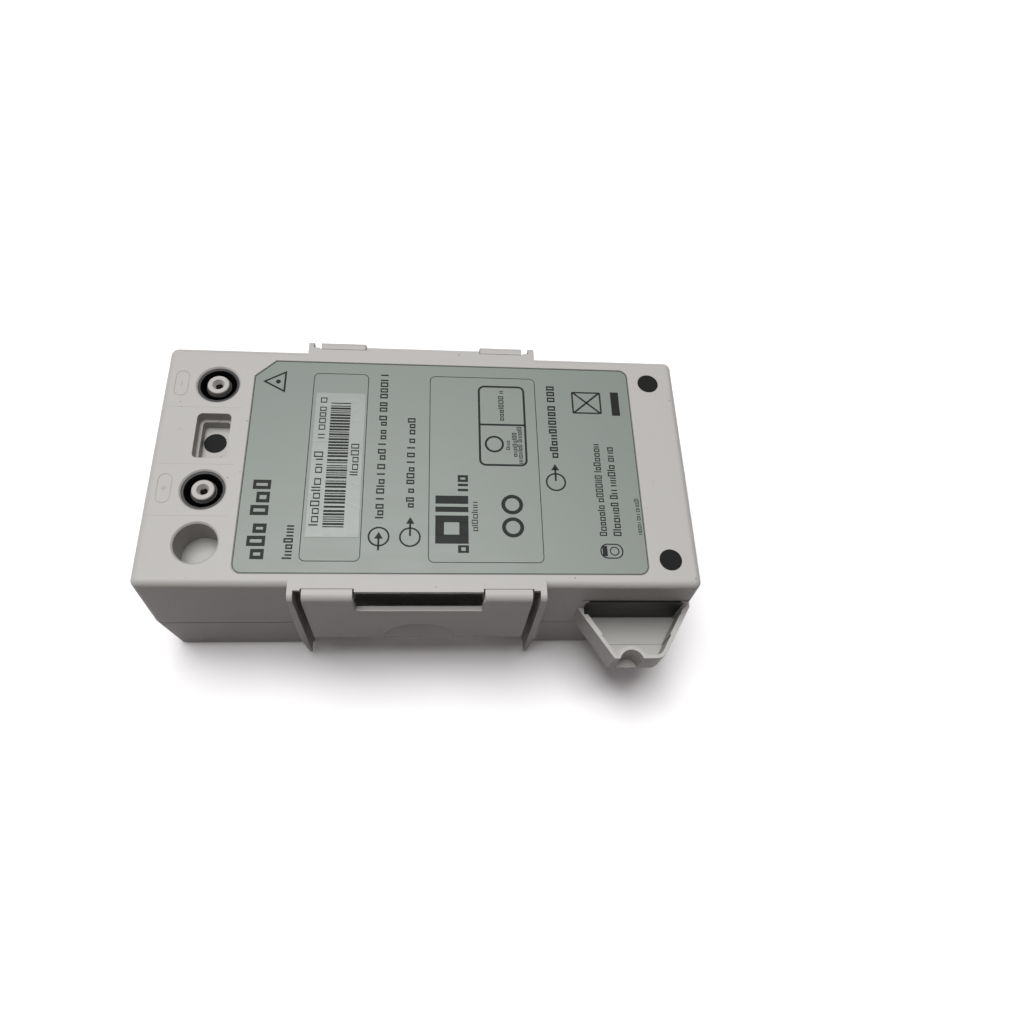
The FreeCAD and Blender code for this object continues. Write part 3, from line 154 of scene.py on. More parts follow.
class Graph:
    """One material's node tree, built from Object coordinates."""

    def __init__(self, name: str) -> None:
        """Starts an empty material.

        Args:
            name: The material's name.
        """
        self.material = bpy.data.materials.new(name)
        self.material.use_nodes = True
        self.tree = self.material.node_tree
        self.tree.nodes.clear()
        self.place = self.node("ShaderNodeTexCoord").outputs["Object"]

    def node(self, kind: str, settings: dict[str, Any] | None = None,
             sockets: dict[Any, Any] | None = None) -> bpy.types.Node:
        """Adds any node.

        Args:
            kind: The node's type.
            settings: Its own settings; "stops" holds a ramp's positions and colours.
            sockets: Values or links of its inputs, by name or number.

        Returns:
            The new node.
        """
        made = self.tree.nodes.new(kind)
        for key, value in (settings or {}).items():
            if key == "stops":
                self._fill_ramp(made.color_ramp, value)
            else:
                setattr(made, key, value)
        for key, value in (sockets or {}).items():
            self._feed(made.inputs[key], value)
        return made

    def _fill_ramp(self, ramp: bpy.types.ColorRamp, stops: Sequence[tuple[float, Rgb]]) -> None:
        """Sets a ramp's stops, of which there are at least two.

        Args:
            ramp: The ramp to fill.
            stops: Positions and colours.
        """
        while len(ramp.elements) < len(stops):
            ramp.elements.new(1.0)
        for element, (position, colour) in zip(ramp.elements, stops):
            element.position = position
            element.color = (*colour, 1.0)

    def _feed(self, target: bpy.types.NodeSocket, value: Any) -> None:
        """Links or sets one input.

        Args:
            target: The input.
            value: A signal, a socket, a number or a colour.
        """
        if isinstance(value, Signal):
            self.tree.links.new(value.socket, target)
        elif isinstance(value, bpy.types.NodeSocket):
            self.tree.links.new(value, target)
        elif isinstance(value, tuple) and len(value) == 3 and target.type == "RGBA":
            target.default_value = (*value, 1.0)
        else:
            target.default_value = value

    def stretched(self, scale: tuple[float, float, float], turn: tuple[float, float, float] = (0, 0, 0),
                  centre: tuple[float, float, float] = (0, 0, 0)) -> bpy.types.NodeSocket:
        """Object coordinates moved, turned and scaled.

        Args:
            scale: Factor on each axis.
            turn: Turn on each axis, in degrees.
            centre: The point, in millimetres, that becomes the pattern's origin.

        Returns:
            The vector socket.
        """
        shifted = self.node("ShaderNodeVectorMath", {"operation": "SUBTRACT"},
                            {0: self.place, 1: tuple(c * MM for c in centre)})
        turned = tuple(math.radians(a) for a in turn)
        made = self.node("ShaderNodeMapping", None,
                         {"Vector": shifted.outputs[0], "Rotation": turned, "Scale": scale})
        return made.outputs[0]

    def noise(self, size_mm: float, detail: float = 2.0, rough: float = 0.5,
              place: bpy.types.NodeSocket | None = None) -> Signal:
        """Smooth random variation.

        Args:
            size_mm: Size of its largest features.
            detail: Octaves of finer variation.
            rough: Strength of the finer octaves.
            place: Coordinates to use in place of Object coordinates.

        Returns:
            A signal around 0.5.
        """
        sockets = {"Vector": place or self.place, "Scale": 1 / (size_mm * MM), "Detail": detail,
                   "Roughness": rough}
        return Signal(self, self.node("ShaderNodeTexNoise", None, sockets).outputs[0])

    def cells(self, size_mm: float, place: bpy.types.NodeSocket | None = None,
              feature: str = "F1") -> Signal:
        """Distance to scattered points.

        Args:
            size_mm: Distance between the points.
            place: Coordinates to use in place of Object coordinates.
            feature: The Voronoi feature.

        Returns:
            The distance, in units of the point spacing.
        """
        sockets = {"Vector": place or self.place, "Scale": 1 / (size_mm * MM)}
        return Signal(self, self.node("ShaderNodeTexVoronoi", {"feature": feature}, sockets).outputs[0])

    def bands(self, pitch_mm: float, axis: str, wobble: float = 0.0,
              place: bpy.types.NodeSocket | None = None) -> Signal:
        """Even parallel bands across one axis.

        Args:
            pitch_mm: Distance from band to band.
            axis: X, Y or Z.
            wobble: How far the bands stray.
            place: Coordinates to use in place of Object coordinates.

        Returns:
            A signal from 0 to 1.
        """
        sockets = {"Vector": place or self.place, "Scale": math.pi / 10 / (pitch_mm * MM),
                   "Distortion": wobble, "Detail": 1.0}
        made = self.node("ShaderNodeTexWave", {"bands_direction": axis}, sockets)
        return Signal(self, made.outputs["Fac"])

    def mix(self, factor: Any, low: Any, high: Any) -> bpy.types.NodeSocket:
        """Blends two colours.

        Args:
            factor: 0 for the first colour, 1 for the second.
            low: The first colour.
            high: The second colour.

        Returns:
            The colour socket.
        """
        made = self.node("ShaderNodeMix", {"data_type": "RGBA"}, {0: factor, 6: low, 7: high})
        return made.outputs[2]

    def bump(self, height: Signal, depth_mm: float, strength: float = 1.0,
             under: bpy.types.NodeSocket | None = None) -> bpy.types.NodeSocket:
        """Surface relief.

        Args:
            height: The relief, from 0 to 1.
            depth_mm: Its depth.
            strength: How much of it shows.
            under: A normal that it is laid over.

        Returns:
            The normal socket.
        """
        sockets = {"Height": height, "Distance": depth_mm * MM, "Strength": strength}
        if under is not None:
            sockets["Normal"] = under
        return self.node("ShaderNodeBump", None, sockets).outputs[0]

    def soft_edges(self, radius_mm: float) -> bpy.types.NodeSocket:
        """A normal that rounds sharp moulded edges a little.

        Args:
            radius_mm: The edge radius.

        Returns:
            The normal socket.
        """
        return self.node("ShaderNodeBevel", {"samples": 6}, {"Radius": radius_mm * MM}).outputs[0]

    def surface(self, sockets: dict[str, Any]) -> bpy.types.Material:
        """Closes the graph with one shader.

        Args:
            sockets: The shader's inputs.

        Returns:
            The finished material.
        """
        shader = self.node("ShaderNodeBsdfPrincipled", None, sockets)
        self.node("ShaderNodeOutputMaterial", None, {"Surface": shader.outputs[0]})
        return self.material


# --- Finishes -------------------------------------------------------------------------------------
@dataclass(frozen=True)
class Finish:
    """A named surface finish."""

    name: str

    def make(self) -> bpy.types.Material:
        """Builds the material."""
        raise NotImplementedError


@dataclass(frozen=True)
class MouldedPlastic(Finish):
    """Moulded plastic with a spark-eroded grain, handling marks and light scuffs."""

    colour: Rgb
    worn: Rgb
    roughness: float = 0.52
    grain_mm: float = 0.32
    grain_depth_mm: float = 0.02
    scuffs: float = 0.35
    specks: float = 0.5
    edge_mm: float = 0.25

    def make(self) -> bpy.types.Material:
        """Builds the material."""
        graph = Graph(self.name)
        cloud = graph.noise(34.0, 3.0)
        patches = graph.noise(5.5, 4.0, 0.6)
        grain = graph.noise(self.grain_mm, 3.0, 0.62)
        pits = graph.cells(self.grain_mm * 1.7)
        streak_a = graph.noise(1.1, 2.0, 0.5, graph.stretched((0.03, 1.0, 1.0), (0, 0, 24)))
        streak_b = graph.noise(0.9, 2.0, 0.5, graph.stretched((1.0, 0.04, 1.0), (0, 0, -31)))
        where = graph.noise(13.0, 2.0).rise(0.52, 0.72)
        scratches = streak_a.rise(0.72, 0.78).larger(streak_b.rise(0.73, 0.79)) * where
        dust = (0.12 - graph.cells(3.1)).rise(0.0, 0.035) * graph.noise(9.0, 1.0).rise(0.55, 0.62)
        tint = graph.mix((cloud - 0.5) * 0.5 + (patches - 0.5) * 0.35 + 0.5,
                         tuple(c * 0.955 for c in self.colour), tuple(c * 1.035 for c in self.colour))
        tint = graph.mix(scratches * self.scuffs, tint, self.worn)
        tint = graph.mix(dust * self.specks, tint, tuple(c * 0.25 for c in self.colour))
        gloss = self.roughness + (patches - 0.5) * 0.14 + (grain - 0.5) * 0.10 - scratches * 0.08
        relief = grain * 0.7 + pits * 0.3
        normal = graph.bump(relief, self.grain_depth_mm, 0.55, graph.soft_edges(self.edge_mm))
        return graph.surface({"Base Color": tint, "Roughness": gloss, "Normal": normal,
                              "Specular IOR Level": 0.42})


@dataclass(frozen=True)
class PrintedFilm(Finish):
    """Satin polyester overlay with a fine tooth and slow changes of tone."""

    colour: Rgb
    colour_far: Rgb
    roughness: float = 0.42

    def make(self) -> bpy.types.Material:
        """Builds the material."""
        graph = Graph(self.name)
        drift = graph.noise(70.0, 1.0, 0.4)
        tooth = graph.noise(0.16, 2.0, 0.7)
        smear = graph.noise(4.0, 4.0, 0.65, graph.stretched((0.35, 1.0, 1.0), (0, 0, 18)))
        scratch = graph.noise(0.8, 2.0, 0.5, graph.stretched((0.025, 1.0, 1.0), (0, 0, -38)))
        lines = scratch.rise(0.735, 0.78) * graph.noise(11.0, 1.0).rise(0.55, 0.7)
        tint = graph.mix(drift + (smear - 0.5) * 0.35, self.colour, self.colour_far)
        tint = graph.mix(lines * 0.22, tint, tuple(c * 1.5 for c in self.colour_far))
        gloss = self.roughness + (smear - 0.5) * 0.12 + (tooth - 0.5) * 0.08
        normal = graph.bump(tooth * 0.6 + smear * 0.4, 0.008, 0.35)
        return graph.surface({"Base Color": tint, "Roughness": gloss, "Normal": normal,
                              "Specular IOR Level": 0.5})


@dataclass(frozen=True)
class FoilSticker(Finish):
    """Metallised sticker, pressed down by hand, with a few creases."""

    colour: Rgb
    crease_at: tuple[float, float, float]

    def make(self) -> bpy.types.Material:
        """Builds the material."""
        graph = Graph(self.name)
        swell = graph.noise(13.0, 2.0, 0.5)
        crease = graph.noise(9.0, 1.5, 0.4, graph.stretched((0.55, 1.0, 1.0), (0, 0, 35), self.crease_at))
        fold = 1 - (crease - 0.5).rise(-0.03, 0.0) + (crease - 0.5).rise(0.0, 0.03)
        brushed = graph.noise(0.5, 2.0, 0.5, graph.stretched((1.0, 0.05, 1.0)))
        tint = graph.mix(brushed * 0.5 + swell * 0.5, tuple(c * 0.86 for c in self.colour), self.colour)
        gloss = 0.48 + (brushed - 0.5) * 0.12 + (swell - 0.5) * 0.10
        under = graph.bump(fold, 0.05, 0.35)
        normal = graph.bump(swell, 0.5, 0.35, under)
        return graph.surface({"Base Color": tint, "Metallic": 0.25, "Roughness": gloss, "Normal": normal,
                              "Specular IOR Level": 0.3})


@dataclass(frozen=True)
class PrintInk(Finish):
    """Screen-printed ink with slightly uneven cover."""

    colour: Rgb
    thin: Rgb

    def make(self) -> bpy.types.Material:
        """Builds the material."""
        graph = Graph(self.name)
        cover = graph.noise(0.35, 3.0, 0.7)
        tint = graph.mix(cover.rise(0.58, 0.80) * 0.5, self.colour, self.thin)
        gloss = 0.46 + (cover - 0.5) * 0.15
        return graph.surface({"Base Color": tint, "Roughness": gloss, "Specular IOR Level": 0.12,
                              "Normal": graph.bump(cover, 0.004, 0.4)})


@dataclass(frozen=True)
class Rubber(Finish):
    """Soft matt rubber with dust caught in its grain."""

    colour: Rgb
    dust: Rgb

    def make(self) -> bpy.types.Material:
        """Builds the material."""
        graph = Graph(self.name)
        grain = graph.noise(0.22, 3.0, 0.6)
        lint = graph.noise(1.4, 4.0, 0.7)
        tint = graph.mix(lint.rise(0.60, 0.82) * 0.35, self.colour, self.dust)
        normal = graph.bump(grain * 0.7 + lint * 0.3, 0.02, 0.6, graph.soft_edges(0.2))
        return graph.surface({"Base Color": tint, "Roughness": 0.62 + (grain - 0.5) * 0.2,
                              "Normal": normal, "Specular IOR Level": 0.12})


@dataclass(frozen=True)
class BareMetal(Finish):
    """Plated or bare metal with tool lines along one axis and a little tarnish."""

    colour: Rgb
    tarnish: Rgb
    roughness: float = 0.26
    grain_scale: tuple[float, float, float] = (1.0, 1.0, 0.08)
    tarnished: float = 0.35

    def make(self) -> bpy.types.Material:
        """Builds the material."""
        graph = Graph(self.name)
        lines = graph.noise(0.25, 2.0, 0.6, graph.stretched(self.grain_scale))
        stain = graph.noise(2.6, 4.0, 0.6)
        cover = stain.rise(0.48, 0.74) * self.tarnished
        tint = graph.mix(cover, self.colour, self.tarnish)
        gloss = self.roughness + (lines - 0.5) * 0.16 + cover * 0.25
        normal = graph.bump(lines, 0.01, 0.4, graph.soft_edges(0.12))
        return graph.surface({"Base Color": tint, "Metallic": 1.0, "Roughness": gloss, "Normal": normal})


@dataclass(frozen=True)
class CircuitLaminate(Finish):
    """Glass-epoxy board: solder mask over tracks, with the weave just visible."""

    mask: Rgb
    track: Rgb

    def make(self) -> bpy.types.Material:
        """Builds the material."""
        graph = Graph(self.name)
        weave = graph.bands(0.55, "X") * graph.bands(0.55, "Y")
        tracks_x = graph.bands(2.6, "X", 2.2).rise(0.62, 0.68)
        tracks_y = graph.bands(3.4, "Y", 2.6).rise(0.60, 0.66)
        region = graph.cells(17.0).rise(0.48, 0.50)
        tracks = tracks_x * region + tracks_y * (1 - region)
        tint = graph.mix(tracks * 0.6, self.mask, self.track)
        tint = graph.mix(weave * 0.12, tint, tuple(c * 2.2 for c in self.mask))
        normal = graph.bump(tracks + weave * 0.1, 0.035, 0.8)
        return graph.surface({"Base Color": tint, "Roughness": 0.30 + (1 - tracks) * 0.12,
                              "Normal": normal})


@dataclass(frozen=True)
class WoundWire(Finish):
    """Close turns of wire or tape across one axis."""

    colour: Rgb
    gap: Rgb
    pitch_mm: float
    axis: str
    metallic: float = 0.0
    roughness: float = 0.32

    def make(self) -> bpy.types.Material:
        """Builds the material."""
        graph = Graph(self.name)
        turns = graph.bands(self.pitch_mm, self.axis, 0.35)
        patina = graph.noise(2.2, 3.0)
        tint = graph.mix(turns.rise(0.0, 0.55), self.gap, self.colour)
        tint = graph.mix((patina - 0.5) * 0.4 + 0.2, tint, tuple(c * 0.7 for c in self.colour))
        normal = graph.bump(turns, self.pitch_mm * 0.4, 0.9)
        return graph.surface({"Base Color": tint, "Metallic": self.metallic, "Normal": normal,
                              "Roughness": self.roughness + (patina - 0.5) * 0.2})


@dataclass(frozen=True)
class DippedCoat(Finish):
    """Glossy dipped or glazed coat with an uneven skin, for small components."""

    colour: Rgb
    shade: Rgb
    roughness: float = 0.3
    skin_mm: float = 1.6
    depth_mm: float = 0.08

    def make(self) -> bpy.types.Material:
        """Builds the material."""
        graph = Graph(self.name)
        skin = graph.noise(self.skin_mm, 2.0, 0.5)
        pores = graph.cells(self.skin_mm * 0.45).rise(0.05, 0.35)
        tint = graph.mix(skin, self.shade, self.colour)
        normal = graph.bump(skin * 0.7 + pores * 0.3, self.depth_mm, 0.6, graph.soft_edges(0.25))
        return graph.surface({"Base Color": tint, "Roughness": self.roughness + (skin - 0.5) * 0.2,
                              "Normal": normal})


@dataclass(frozen=True)
class StudioGround(Finish):
    """Seamless pale studio paper."""

    colour: Rgb

    def make(self) -> bpy.types.Material:
        """Builds the material."""
        graph = Graph(self.name)
        fibre = graph.noise(3.0, 3.0, 0.6)
        tint = graph.mix(fibre, tuple(c * 0.99 for c in self.colour), self.colour)
        return graph.surface({"Base Color": tint, "Roughness": 0.85, "Specular IOR Level": 0.1})


SHELL = MouldedPlastic("shell_grey_moulded", colour=(0.360, 0.354, 0.338), worn=(0.50, 0.49, 0.47))
BLACK = MouldedPlastic("black_moulded", colour=(0.013, 0.013, 0.014), worn=(0.06, 0.06, 0.06),
                       roughness=0.48, grain_mm=0.25, specks=0.0)
LABEL = PrintedFilm("label_overlay", colour=(0.153, 0.180, 0.160), colour_far=(0.170, 0.190, 0.172))
STICKER = FoilSticker("serial_sticker_foil", colour=(0.25, 0.268, 0.254), crease_at=(-24.0, -4.0, 0.0))
INK = PrintInk("label_print_ink", colour=(0.012, 0.014, 0.013), thin=(0.05, 0.06, 0.055))
# Dark ink for the printed frames, and also the painted shade in the gap round the overlay's edge.
LINE_INK_AND_GAP_SHADE = PrintInk("label_line_ink_and_painted_gap_shade", colour=(0.030, 0.036, 0.033), thin=(0.09, 0.11, 0.10))
PLUG = Rubber("plug_black_rubber", colour=(0.007, 0.0078, 0.007), dust=(0.035, 0.035, 0.033))
CONTACT = BareMetal("contact_nickel", colour=(0.62, 0.60, 0.55), tarnish=(0.30, 0.26, 0.20))
BLADE = BareMetal("blade_bright_brass", colour=(0.72, 0.66, 0.50), tarnish=(0.38, 0.30, 0.18),
                  grain_scale=(0.08, 1.0, 1.0))
SCREW = BareMetal("screw_zinc_steel", colour=(0.56, 0.57, 0.58), tarnish=(0.25, 0.24, 0.22), roughness=0.34)
SPRING = BareMetal("clip_spring_tin", colour=(0.66, 0.65, 0.62), tarnish=(0.36, 0.34, 0.30), roughness=0.30)
SINK = BareMetal("heat_sink_aluminium", colour=(0.58, 0.59, 0.60), tarnish=(0.38, 0.39, 0.40),
                 roughness=0.42, grain_scale=(0.06, 1.0, 1.0))
BOARD = CircuitLaminate("board_green_mask", mask=(0.015, 0.085, 0.035), track=(0.04, 0.17, 0.06))
BARRIER = PrintedFilm("barrier_fish_paper", colour=(0.42, 0.40, 0.33), colour_far=(0.50, 0.48, 0.40),
                      roughness=0.6)
FUSE = DippedCoat("fuse_ceramic", colour=(0.72, 0.70, 0.64), shade=(0.60, 0.57, 0.50), roughness=0.35)
FILM_BOX = DippedCoat("film_capacitor_case", colour=(0.62, 0.48, 0.06), shade=(0.50, 0.37, 0.04),
                      roughness=0.42, skin_mm=3.0, depth_mm=0.03)
DISC = DippedCoat("disc_blue_coating", colour=(0.03, 0.10, 0.32), shade=(0.02, 0.06, 0.20), depth_mm=0.15)
THERMISTOR = DippedCoat("disc_dark_coating", colour=(0.02, 0.03, 0.025), shade=(0.04, 0.05, 0.045),
                        depth_mm=0.15)
FERRITE = DippedCoat("ferrite_core", colour=(0.045, 0.043, 0.042), shade=(0.025, 0.024, 0.023),
                     roughness=0.55, skin_mm=0.8, depth_mm=0.05)
COPPER = WoundWire("enamelled_copper", colour=(0.58, 0.22, 0.08), gap=(0.10, 0.03, 0.01), pitch_mm=0.8,
                   axis="X", metallic=0.85)
EPOXY = DippedCoat("chip_epoxy", colour=(0.022, 0.022, 0.023), shade=(0.032, 0.032, 0.033),
                   roughness=0.5, skin_mm=0.3, depth_mm=0.02)
SLEEVE = WoundWire("can_shrink_sleeve", colour=(0.020, 0.028, 0.070), gap=(0.015, 0.020, 0.052),
                   pitch_mm=6.0, axis="Z")
BOBBIN = MouldedPlastic("bobbin_phenolic", colour=(0.05, 0.045, 0.04), worn=(0.12, 0.11, 0.10), specks=0.0)
TAPE = WoundWire("winding_yellow_tape", colour=(0.66, 0.48, 0.07), gap=(0.45, 0.31, 0.04), pitch_mm=4.2,
                 axis="Z", roughness=0.36)


def wire_finish(colour_name: str, colour: Rgb) -> MouldedPlastic:
    """Smooth extruded insulation of one colour.

    Args:
        colour_name: The colour's plain name.
        colour: The colour itself.

    Returns:
        The finish.
    """
    return MouldedPlastic(f"insulation_{colour_name}", colour=colour, worn=tuple(c * 1.3 for c in colour),
                          roughness=0.40, grain_mm=0.8, grain_depth_mm=0.01, specks=0.0, edge_mm=0.05)


GROUND = StudioGround("studio_ground", colour=(0.93, 0.93, 0.93))

NODE_FINISHES: dict[str, Finish] = {
    "rating_label": LABEL, "serial_sticker": STICKER, "shell_screws": SCREW, "board_screws": SCREW,
    "port_cover": BLACK, "inlet_blades": BLADE, "main_board": BOARD, "controller_board": BOARD,
    "insulation_sheet": BARRIER, "line_fuses": FUSE, "fuse_clips": SPRING,
    "line_filter_capacitors": FILM_BOX, "varistor": DISC, "inrush_thermistor": THERMISTOR,
    "filter_choke_core": FERRITE, "transformer_core": FERRITE, "output_choke_core": FERRITE,
    "filter_choke_windings": COPPER, "output_choke_winding": COPPER, "bridge_rectifier": EPOXY,
    "switching_transistors": EPOXY, "output_rectifiers": EPOXY, "controller_chip": EPOXY,
    "isolating_couplers": EPOXY, "bulk_capacitor": SLEEVE, "output_capacitors": SLEEVE,
    "primary_heat_sink": SINK, "secondary_heat_sink": SINK, "transformer_bobbin": BOBBIN,
    "transformer_winding": TAPE,
    "line_lead": wire_finish("brown", (0.115, 0.045, 0.02)),
    "neutral_lead": wire_finish("blue", (0.02, 0.09, 0.36)),
    "earth_lead": wire_finish("green", (0.04, 0.24, 0.04)),
    "positive_lead": wire_finish("red", (0.42, 0.02, 0.015)),
    "negative_lead": wire_finish("black", (0.015, 0.015, 0.016)),
}


class Wardrobe:
    """Makes each finish once and puts it on pieces."""

    def __init__(self) -> None:
        """Starts with no materials made."""
        self._made: dict[str, bpy.types.Material] = {}

    def dress(self, piece: bpy.types.Object, finish: Finish) -> None:
        """Puts a finish on every material slot of a piece.

        Args:
            piece: The piece to dress.
            finish: The finish it gets.
        """
        if finish.name not in self._made:
            self._made[finish.name] = finish.make()
        if not piece.material_slots:
            piece.data.materials.append(None)
        for slot in piece.material_slots:
            slot.material = self._made[finish.name]


WARDROBE = Wardrobe()


# --- Modelling by operators -----------------------------------------------------------------------
def only(piece: bpy.types.Object) -> None:
    """Selects one object and makes it active.

    Args:
        piece: The object.
    """
    bpy.ops.object.select_all(action="DESELECT")
    piece.select_set(True)
    bpy.context.view_layer.objects.active = piece


@contextmanager
def editing(piece: bpy.types.Object) -> Iterator[None]:
    """Opens edit mode with everything selected, and leaves it at the end.

    Args:
        piece: The mesh object to edit.
    """
    only(piece)
    bpy.ops.object.mode_set(mode="EDIT")
    bpy.ops.mesh.select_all(action="SELECT")
    yield
    bpy.ops.object.mode_set(mode="OBJECT")


def pick_vertices(piece: bpy.types.Object, test: Callable[[Vector], bool]) -> None:
    """Selects, in edit mode, only the vertices that pass a test.

    Args:
        piece: The object being edited.
        test: Says whether the vertex at a place is wanted.
    """
    bpy.ops.mesh.select_mode(type="VERT")
    bpy.ops.mesh.select_all(action="DESELECT")
    net = bmesh.from_edit_mesh(piece.data)
    for vertex in net.verts:
        vertex.select_set(test(vertex.co))
    net.select_flush(True)
    bmesh.update_edit_mesh(piece.data)


def settle(piece: bpy.types.Object) -> None:
    """Moves an object's placement into its mesh.

    Args:
        piece: The object.
    """
    only(piece)
    bpy.ops.object.transform_apply(location=True, rotation=True, scale=True)


def flat_plate(name: str, x: Span, y: Span, z: float) -> bpy.types.Object:
    """A flat rectangle.

    Args:
        name: The object's name.
        x: Its reach along X, in millimetres.
        y: Its reach along Y.
        z: Its height.

    Returns:
        The object, with its place in its mesh.
    """
    bpy.ops.object.select_all(action="DESELECT")
    centre = ((x[0] + x[1]) / 2 * MM, (y[0] + y[1]) / 2 * MM, z * MM)
    bpy.ops.mesh.primitive_plane_add(size=1, location=centre)
    piece = bpy.context.active_object
    piece.name = name
    piece.scale = (abs(x[1] - x[0]) * MM, abs(y[1] - y[0]) * MM, 1)
    settle(piece)
    return piece


def thicken(thickness_mm: float) -> None:
    """In edit mode, raises everything into a closed slab and faces it outwards.

    Args:
        thickness_mm: The slab's thickness.
    """
    bpy.ops.mesh.select_all(action="SELECT")
    bpy.ops.mesh.extrude_region_move(TRANSFORM_OT_translate={"value": (0, 0, thickness_mm * MM)})
    bpy.ops.mesh.select_all(action="SELECT")
    bpy.ops.mesh.normals_make_consistent(inside=False)


def round_corners(piece: bpy.types.Object, radius_mm: float, segments: int,
                  test: Callable[[Vector], bool] = lambda at: True) -> None:
    """In edit mode, rounds chosen corners of a flat face.

    Args:
        piece: The object being edited.
        radius_mm: The corner radius, or the cut's reach where there is one segment.
        segments: Steps round each corner.
        test: Which corners.
    """
    pick_vertices(piece, test)
    bpy.ops.mesh.bevel(offset_type="OFFSET", offset=radius_mm * MM, segments=segments,
                       affect="VERTICES", clamp_overlap=True)


def hollow_out(line_mm: float) -> None:
    """In edit mode, keeps only a line of the given width round a flat face.

    Args:
        line_mm: The line's width.
    """
    bpy.ops.mesh.select_mode(type="FACE")
    bpy.ops.mesh.select_all(action="SELECT")
    bpy.ops.mesh.inset(thickness=line_mm * MM, depth=0, use_boundary=True)
    bpy.ops.mesh.delete(type="FACE")


def joined(name: str, parts: Sequence[bpy.types.Object]) -> bpy.types.Object:
    """Joins objects into one.

    Args:
        name: The result's name.
        parts: The objects.

    Returns:
        The joined object.
    """
    bpy.ops.object.select_all(action="DESELECT")
    for part in parts:
        part.select_set(True)
    bpy.context.view_layer.objects.active = parts[0]
    if len(parts) > 1:
        bpy.ops.object.join()
    result = bpy.context.view_layer.objects.active
    result.name = name
    result.data.name = name
    return result


def finished(piece: bpy.types.Object, finish: Finish, body: Body) -> bpy.types.Object:
    """Dresses a piece and joins it to its body.

    Args:
        piece: The piece.
        finish: Its finish.
        body: The body it rides on.

    Returns:
        The same piece.
    """
    WARDROBE.dress(piece, finish)
    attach(piece, body.value)
    return piece


def use_modifier(piece: bpy.types.Object, kind: str, settings: dict[str, Any]) -> None:
    """Adds a modifier and applies it.

    Args:
        piece: The mesh object.
        kind: The modifier's type.
        settings: Its settings.
    """
    only(piece)
    bpy.ops.object.modifier_add(type=kind)
    modifier = piece.modifiers[-1]
    for key, value in settings.items():
        setattr(modifier, key, value)
    bpy.ops.object.modifier_apply(modifier=modifier.name)


def smoothed(piece: bpy.types.Object, angle_deg: float) -> None:
    """Shades a piece smoothly over its soft edges and keeps its flats flat.

    Args:
        piece: The piece.
        angle_deg: Edges sharper than this stay sharp.
    """
    only(piece)
    bpy.ops.object.shade_smooth_by_angle(angle=math.radians(angle_deg))
    use_modifier(piece, "WEIGHTED_NORMAL", {"mode": "FACE_AREA", "keep_sharp": True})


def node_copy(name: str, merge_mm: float) -> bpy.types.Object:
    """A copy of one node with its doubled vertices merged.

    Args:
        name: The node's name.
        merge_mm: Vertices closer than this become one.

    Returns:
        The copy.
    """
    copy = bpy.data.objects.new(f"{name}_copy", frame["nodes"][name].data.copy())
    bpy.context.scene.collection.objects.link(copy)
    only(copy)
    bpy.ops.mesh.customdata_custom_splitnormals_clear()
    with editing(copy):
        bpy.ops.mesh.remove_doubles(threshold=merge_mm * MM)
    return copy


def loose_parts(piece: bpy.types.Object) -> list[bpy.types.Object]:
    """Separates a piece into its unconnected parts.

    Args:
        piece: The piece.

    Returns:
        The parts, the largest first.
    """
    before = set(bpy.context.scene.objects)
    with editing(piece):
        bpy.ops.mesh.separate(type="LOOSE")
    parts = [piece] + [made for made in bpy.context.scene.objects if made not in before]
    return sorted(parts, key=lambda part: -len(part.data.vertices))


def welded(parts: Sequence[bpy.types.Object]) -> bpy.types.Object:
    """Unites bodies that meet face to face into the first one.

    Args:
        parts: The bodies, the first of which keeps the result.

    Returns:
        The united body.
    """
    first, *rest = parts
    for other in rest:
        use_modifier(first, "BOOLEAN", {"operation": "UNION", "solver": "EXACT", "object": other})
        bpy.data.objects.remove(other)
    return first


@dataclass
class Skin:
    """A finished surface over one moulded or turned node, or over several that are one moulding."""

    nodes: tuple[str, ...]
    finish: Finish
    slot: str
    body: Body = Body.HOUSING
    smooth_deg: float = 32.0
    merge_mm: float = 0.0005

    def build(self) -> bpy.types.Object:
        """Makes a merged, smoothly shaded copy that stands for its nodes.

        Returns:
            The new piece.
        """
        copies = [node_copy(node, self.merge_mm) for node in self.nodes]
        piece = copies[0]
        if len(copies) > 1:
            piece = welded([part for copy in copies for part in loose_parts(copy)])
            with editing(piece):
                bpy.ops.mesh.remove_doubles(threshold=self.merge_mm * MM)
                bpy.ops.mesh.dissolve_degenerate(threshold=self.merge_mm * MM)
        piece.name = f"{self.nodes[0]}_skin"
        smoothed(piece, self.smooth_deg)
        for node in self.nodes:
            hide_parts(node)
        return finished(piece, self.finish, self.body)


# --- Print ----------------------------------------------------------------------------------------
class Glyph(Enum):
    """Placeholder marks that stand for characters, as bars in a cell of height 1."""

    TALL_RING = "tall_ring"
    LOW_RING = "low_ring"
    POST = "post"
    TWIN = "twin"


Bar = tuple[float, float, float, float]


def ring_bars(width: float, height: float, weight: float) -> list[Bar]:
    """Four bars round a hollow cell.

    Args:
        width: The cell's width.
        height: The cell's height.
        weight: The bars' width.

    Returns:
        Bars as low and high value along the line, then across it.
    """
    return [(0, weight, 0, height), (width - weight, width, 0, height),
            (weight, width - weight, 0, weight), (weight, width - weight, height - weight, height)]


def glyph_bars(kind: Glyph, width: float, weight: float) -> list[Bar]:
    """The bars of one placeholder mark.

    Args:
        kind: Which mark.
        width: The cell's width.
        weight: The bars' width.

    Returns:
        Bars as low and high value along the line, then across it.
    """
    low_height = 0.74
    if kind is Glyph.TALL_RING:
        return ring_bars(width, 1.0, weight)
    if kind is Glyph.LOW_RING:
        return ring_bars(width, low_height, weight)
    if kind is Glyph.POST:
        return [(0, weight, 0, 1.0)]
    return [(0, weight, 0, low_height), (width - weight, width, 0, low_height)]


